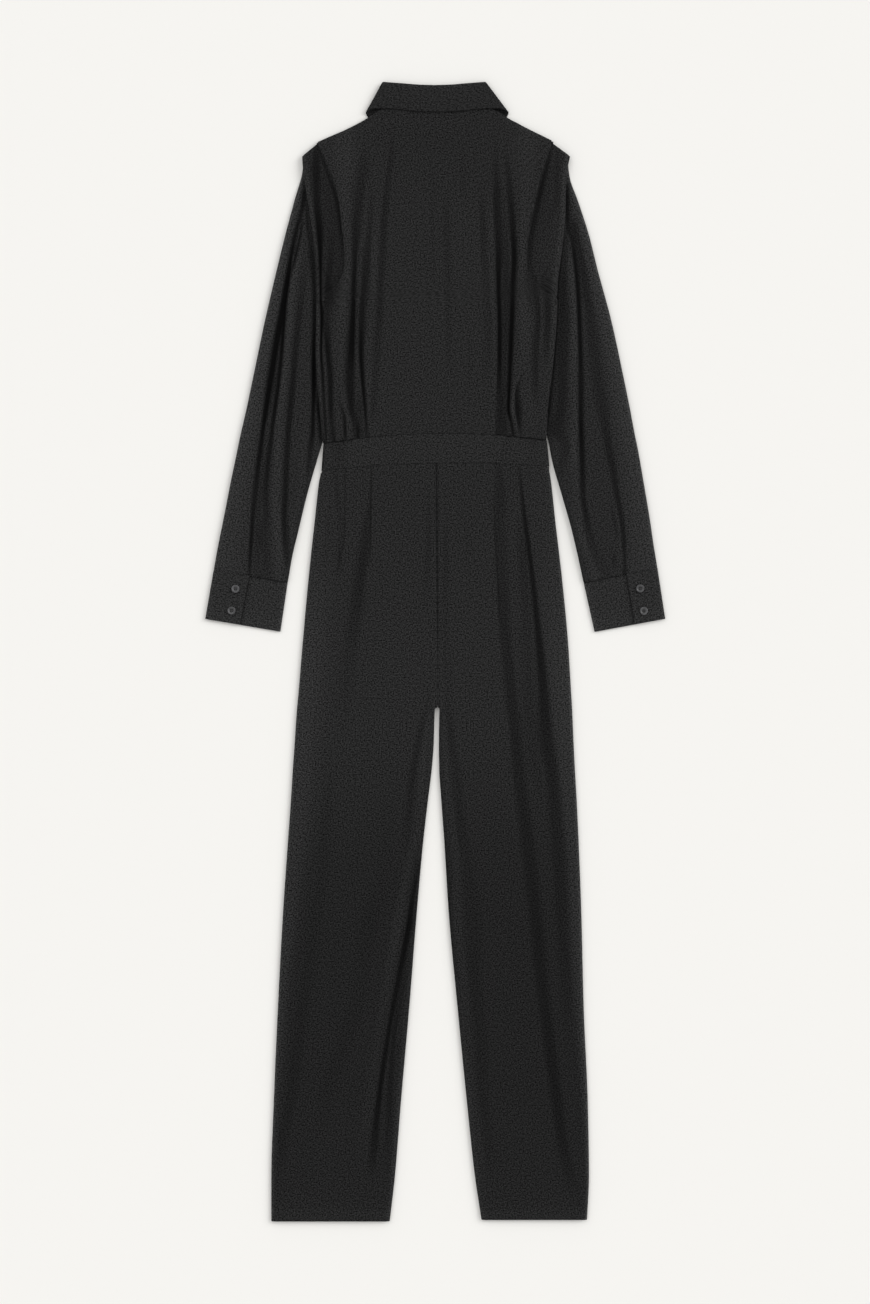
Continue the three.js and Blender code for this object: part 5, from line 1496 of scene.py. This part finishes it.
# %% [markdown]
# Fronts
#
# The fronts lie on the table with the placket between them and the button stand behind
# it. They are plain because nothing of them shows, but they are real panels with their
# own neckline and shoulder, and they lift by one layer where the collar's leaves lie
# beneath them.

# %% Fronts of the bodice
PLACKET_WIDTH = 28.0
STAND_WIDTH = 30.0
STAND_SEAM = 8.0
HALF_PLACKET = PLACKET_WIDTH / 2
FRONT_EDGE = HALF_PLACKET + SEAM
BAND_TOP = 279.6
BAND_LOW = 236.4
BAND_END = 146.4
BAND_FLARE = 1.5
COLLAR_LEAF = (606, 634)
FRONT_NECK = {
    "left": table(
        "out y", (0, 663), (14, 665), (40, 684), (62, 700), (80, 702.5), (92, 701),
        (119.8, 687), (140, 678.4), (155, 671.5),
    ),
    "right": table(
        "out y", (0, 661.5), (14, 663.5), (40, 682), (62, 698.5), (80, 703), (97, 702), (127, 687),
        (141, 680), (155, 673),
    ),
}


def front_lift(y):
    return PLY * ease(*COLLAR_LEAF, y)


def bodice_front(side, sign):
    rows = sorted(SLEEVE[side], key=lambda row: row["inner_y"])
    places = [row["inner_y"] for row in rows]
    outs = [row["inner_out"] for row in rows]
    grid = []
    neck = column(FRONT_NECK[side], "out", "y")
    rises = np.concatenate(
        [np.linspace(280, 600, 60)[:-1], np.linspace(600, 650, 26)[:-1],
         np.linspace(650, TIP_Y, 18)]
    )
    for side_y in rises:
        if side_y > 642:
            edge = mix(152.5, 156, ease(651, 653, side_y))
        else:
            beside_sleeve = np.interp(side_y, places, outs) - 0.8 if side_y > 300 else 146.2
            edge = min(beside_sleeve, mix(200, 152.5, ease(640, 642, side_y)))
        out = np.linspace(FRONT_EDGE, edge, 44)
        y = side_y + ease(636, TIP_Y, side_y) * (neck(out) - TIP_Y)
        grid.append(np.stack([sign * out, y, layer(0) + front_lift(y)], -1))
    return wall(f"bodice_piece_front_{side}", grid)


def waistband_front(side, sign):
    def side_end(y):
        return sign * (BAND_END + BAND_FLARE * (BAND_TOP - y) / (BAND_TOP - BAND_LOW))

    return plate(
        f"waistband_piece_front_{side}", np.linspace(BAND_TOP, BAND_LOW, 8),
        lambda y: sign * FRONT_EDGE, side_end, lambda x, y: y, lambda x, y: layer(0), 20,
    )


def placket_strip(name, start, width, count):
    rows = np.concatenate([np.linspace(BAND_LOW, 600, 40)[:-1], np.linspace(600, 660, 20)])
    return plate(
        name, rows, lambda y: start, lambda y: start + width, lambda x, y: y,
        lambda x, y: layer(count) + front_lift(y), 8,
    )


FRONTS = {}
for side, sign in SIDES:
    FRONTS[side] = finish_cloth(bodice_front(side, sign), CREPE, f"front_bodice_{side}")
    FRONTS["band", side] = finish_cloth(
        waistband_front(side, sign), CREPE_BAND, f"waistband_front_{side}"
    )
PLACKET = finish_cloth(
    placket_strip("placket_piece", -HALF_PLACKET, PLACKET_WIDTH, 0), CREPE_BAND, "front_placket"
)
STAND = finish_cloth(
    placket_strip("button_stand_piece", -HALF_PLACKET - STAND_SEAM, STAND_WIDTH, 1),
    CREPE_BAND, "front_button_stand",
)

# %% [markdown]
# Collar
#
# The collar goes round the neck, so laid flat it is a ring pressed double: the back of the
# fall on top, its two leaves underneath, and the stand inside it. Turning once round the
# neck in even steps, from one leaf over the back to the other, gives both bands the same
# simple rule. The fall stands off the back a little. A fine line of painted shadow runs
# along its lower edge, for the shadow across the neck, and a painted highlight along its
# upper edge. Both bands are painted a little darker all over.

# %% Collar
RING = "turn top_x top_y low_x low_y level"
COLLAR_FALL = table(
    RING,
    (0, 0, 747.6, 0, 711.8, 3), (1, 20, 748.2, 28, 712.6, 3), (2, 42, 750, 55, 715.6, 3),
    (3, 60, 751.3, 78, 716.4, 3), (4, 66.6, 751.8, 91, 713.2, 3),
    (5, 68.3, 750.5, 94, 711, 1.5),
    (6, 66.6, 749, 92, 706.4, 0), (7, 57, 742, 84, 696, 0), (8, 36, 722, 68, 668, 0),
    (9, 14, 702, 46, 644, 0),
)
COLLAR_STAND = table(
    RING,
    (0, 0, 745.6, 0, 722.6, 2), (1, 22, 746, 26, 722.6, 2), (2, 44, 747, 50, 722.6, 2),
    (3, 56, 747.6, 70, 719.4, 2), (4, 60, 747, 75.4, 718.4, 2),
    (5, 60.8, 746.4, 76.4, 717.6, 1.5),
    (6, 60, 745.6, 75, 717, 1), (7, 54, 738, 63.4, 708.2, 1), (8, 34, 718, 39.5, 685.6, 1),
    (9, 8, 699, 13.5, 666.4, 1),
)


COLLAR_SKEW = {"top": -1.1, "low": 2.9}
# The whole collar is painted a little darker, and a painted shadow line runs along its lower edge.
COLLAR_SHADE = 0.08
FALL_LINE_SHADE = 0.5
FALL_LINE = 0.05
COLLAR_BACK = (5, 3.4)
COLLAR_ROWS = 19


def collar_ring(name, rows, rise):
    top_x, top_y, low_x, low_y, level = columns(rows, RING)
    turns = np.concatenate(
        [np.linspace(-9, -6, 24)[:-1], np.linspace(-6, -4, 17)[:-1], np.linspace(-4, 4, 81)[:-1],
         np.linspace(4, 6, 17)[:-1], np.linspace(6, 9, 24)]
    )
    at, sign = np.abs(turns), np.sign(turns)
    on_back = ease(*COLLAR_BACK, at)
    grid = []
    for share in np.linspace(0, 1, COLLAR_ROWS):
        skew = mix(COLLAR_SKEW["low"], COLLAR_SKEW["top"], share)
        x = sign * mix(low_x(at), top_x(at), share) + skew
        y = mix(low_y(at), top_y(at), share)
        puff = on_back * rise * (math.sin(math.pi * share) - 0.4 * ease(0.85, 1, share))
        grid.append(np.stack([x, y, layer(level(at)) + puff], -1))
    share = np.linspace(0, 1, COLLAR_ROWS)[:, None] + 0 * turns
    # Painted shadow along the lower edge and a painted highlight along the upper edge.
    lower = FALL_LINE_SHADE * ease(FALL_LINE, 0, share) * on_back
    upper = rim(1 - share, 0.12, 0.3)
    return wall(name, grid, laid_over(COLLAR_SHADE, lower, upper), wrapped=True)


FALL = finish_cloth(
    collar_ring("collar_piece_fall", COLLAR_FALL, 1.0), CREPE_BAND, "collar_fall"
)
COLLAR_BAND = finish_cloth(
    collar_ring("collar_piece_stand", COLLAR_STAND, 0.2), CREPE_BAND, "collar_stand"
)

# %% [markdown]
# What each sheet was cut to
#
# Every piece of cloth is listed with the width and length of its flat cut. Most cuts
# are not rectangles, so their area is worked out too. It is half the surface of the
# finished piece, which follows the piece and so can't show whether the cloth was
# stretched.

CUTS = [
    (BACK, 0.36, 0.46, ["front_bodice_left", "front_bodice_right"]),
    (SLEEVES["left"], 0.25, 0.60, []),
    (SLEEVES["right"], 0.25, 0.60, []),
    (CUFFS["left"], 0.235, 0.066, []),
    (CUFFS["right"], 0.235, 0.066, []),
    (BAND, 0.305, 0.041, ["waistband_front_left", "waistband_front_right"]),
    (LEGS["back", "left"], 0.222, 1.01, ["trouser_front_left"]),
    (LEGS["back", "right"], 0.206, 1.01, ["trouser_front_right"]),
    (LEGS["front", "left"], 0.220, 0.99, []),
    (LEGS["front", "right"], 0.204, 0.985, []),
    (FRONTS["left"], 0.148, 0.425, []),
    (FRONTS["right"], 0.148, 0.425, []),
    (FRONTS["band", "left"], 0.135, 0.045, []),
    (FRONTS["band", "right"], 0.135, 0.045, []),
    (PLACKET, 0.028, 0.425, []),
    (STAND, 0.030, 0.425, ["front_placket"]),
    (FALL, 0.36, 0.075, ["back_bodice"]),
    (COLLAR_BAND, 0.33, 0.034, []),
]
for piece, width, length, under in CUTS:
    area = half_area(piece)
    area = min(max(area, 0.31 * width * length), width * length)
print(len(CUTS), "sheets")

# %% [markdown]
# Floor, light and camera
#
# The floor is a pale seamless sheet. A large soft light from the right and above lays a
# short soft shadow on the left, and adds to the gleam that is painted on the edges. The
# camera looks straight down through a long lens, as a catalogue picture of a laid-out
# garment is taken.


# %% Floor
def plain_material(name, colour, roughness):
    material = bpy.data.materials.new(name)
    material.use_nodes = True
    shader = material.node_tree.nodes["Principled BSDF"]
    shader.inputs["Base Color"].default_value = (*colour, 1)
    shader.inputs["Roughness"].default_value = roughness
    shader.inputs["Specular IOR Level"].default_value = 0.1
    return material


deselect()
bpy.ops.mesh.primitive_plane_add(size=12, location=(0, 0, -0.0004))
floor = bpy.context.object
floor.name = "floor"
floor.data.materials.append(plain_material("pale_floor", (0.88, 0.869, 0.839), 0.9))
deselect()


# %% Lights
def soft_sun(name, place, spread_degrees, strength):
    """A far light as wide in the sky as a large softbox, aimed at the middle of the floor."""
    deselect()
    bpy.ops.object.light_add(type="SUN", location=place)
    light = bpy.context.object
    light.name = name
    light.data.angle = math.radians(spread_degrees)
    light.data.energy = strength
    aim = -light.location
    light.rotation_euler = aim.to_track_quat("-Z", "Y").to_euler()


soft_sun("key", (2.4, 1.0, 1.6), 35, 1.46)
soft_sun("fill", (-1.8, 1.6, 2.4), 70, 0.6)
WORLD_STRENGTH = 0.67
scene = bpy.context.scene
scene.world = scene.world or bpy.data.worlds.new("studio")
scene.world.use_nodes = True
backdrop = scene.world.node_tree.nodes["Background"]
backdrop.inputs["Color"].default_value = (1, 1, 1, 1)
backdrop.inputs["Strength"].default_value = WORLD_STRENGTH
scene.view_settings.view_transform = "Standard"
scene.view_settings.look = "None"
print("two soft lights and a white world of strength", WORLD_STRENGTH)

# %% Camera
FRAME_HEIGHT = 1.7213
LENS = 100
SENSOR = 36
camera = bpy.data.objects.new("camera", bpy.data.cameras.new("camera"))
bpy.context.collection.objects.link(camera)
camera.data.lens = LENS
camera.data.sensor_width = SENSOR
camera.location = (0, 0, FRAME_HEIGHT / SENSOR * LENS)
scene.camera = camera
print("the camera looks down from", round(camera.location.z, 3), "m")
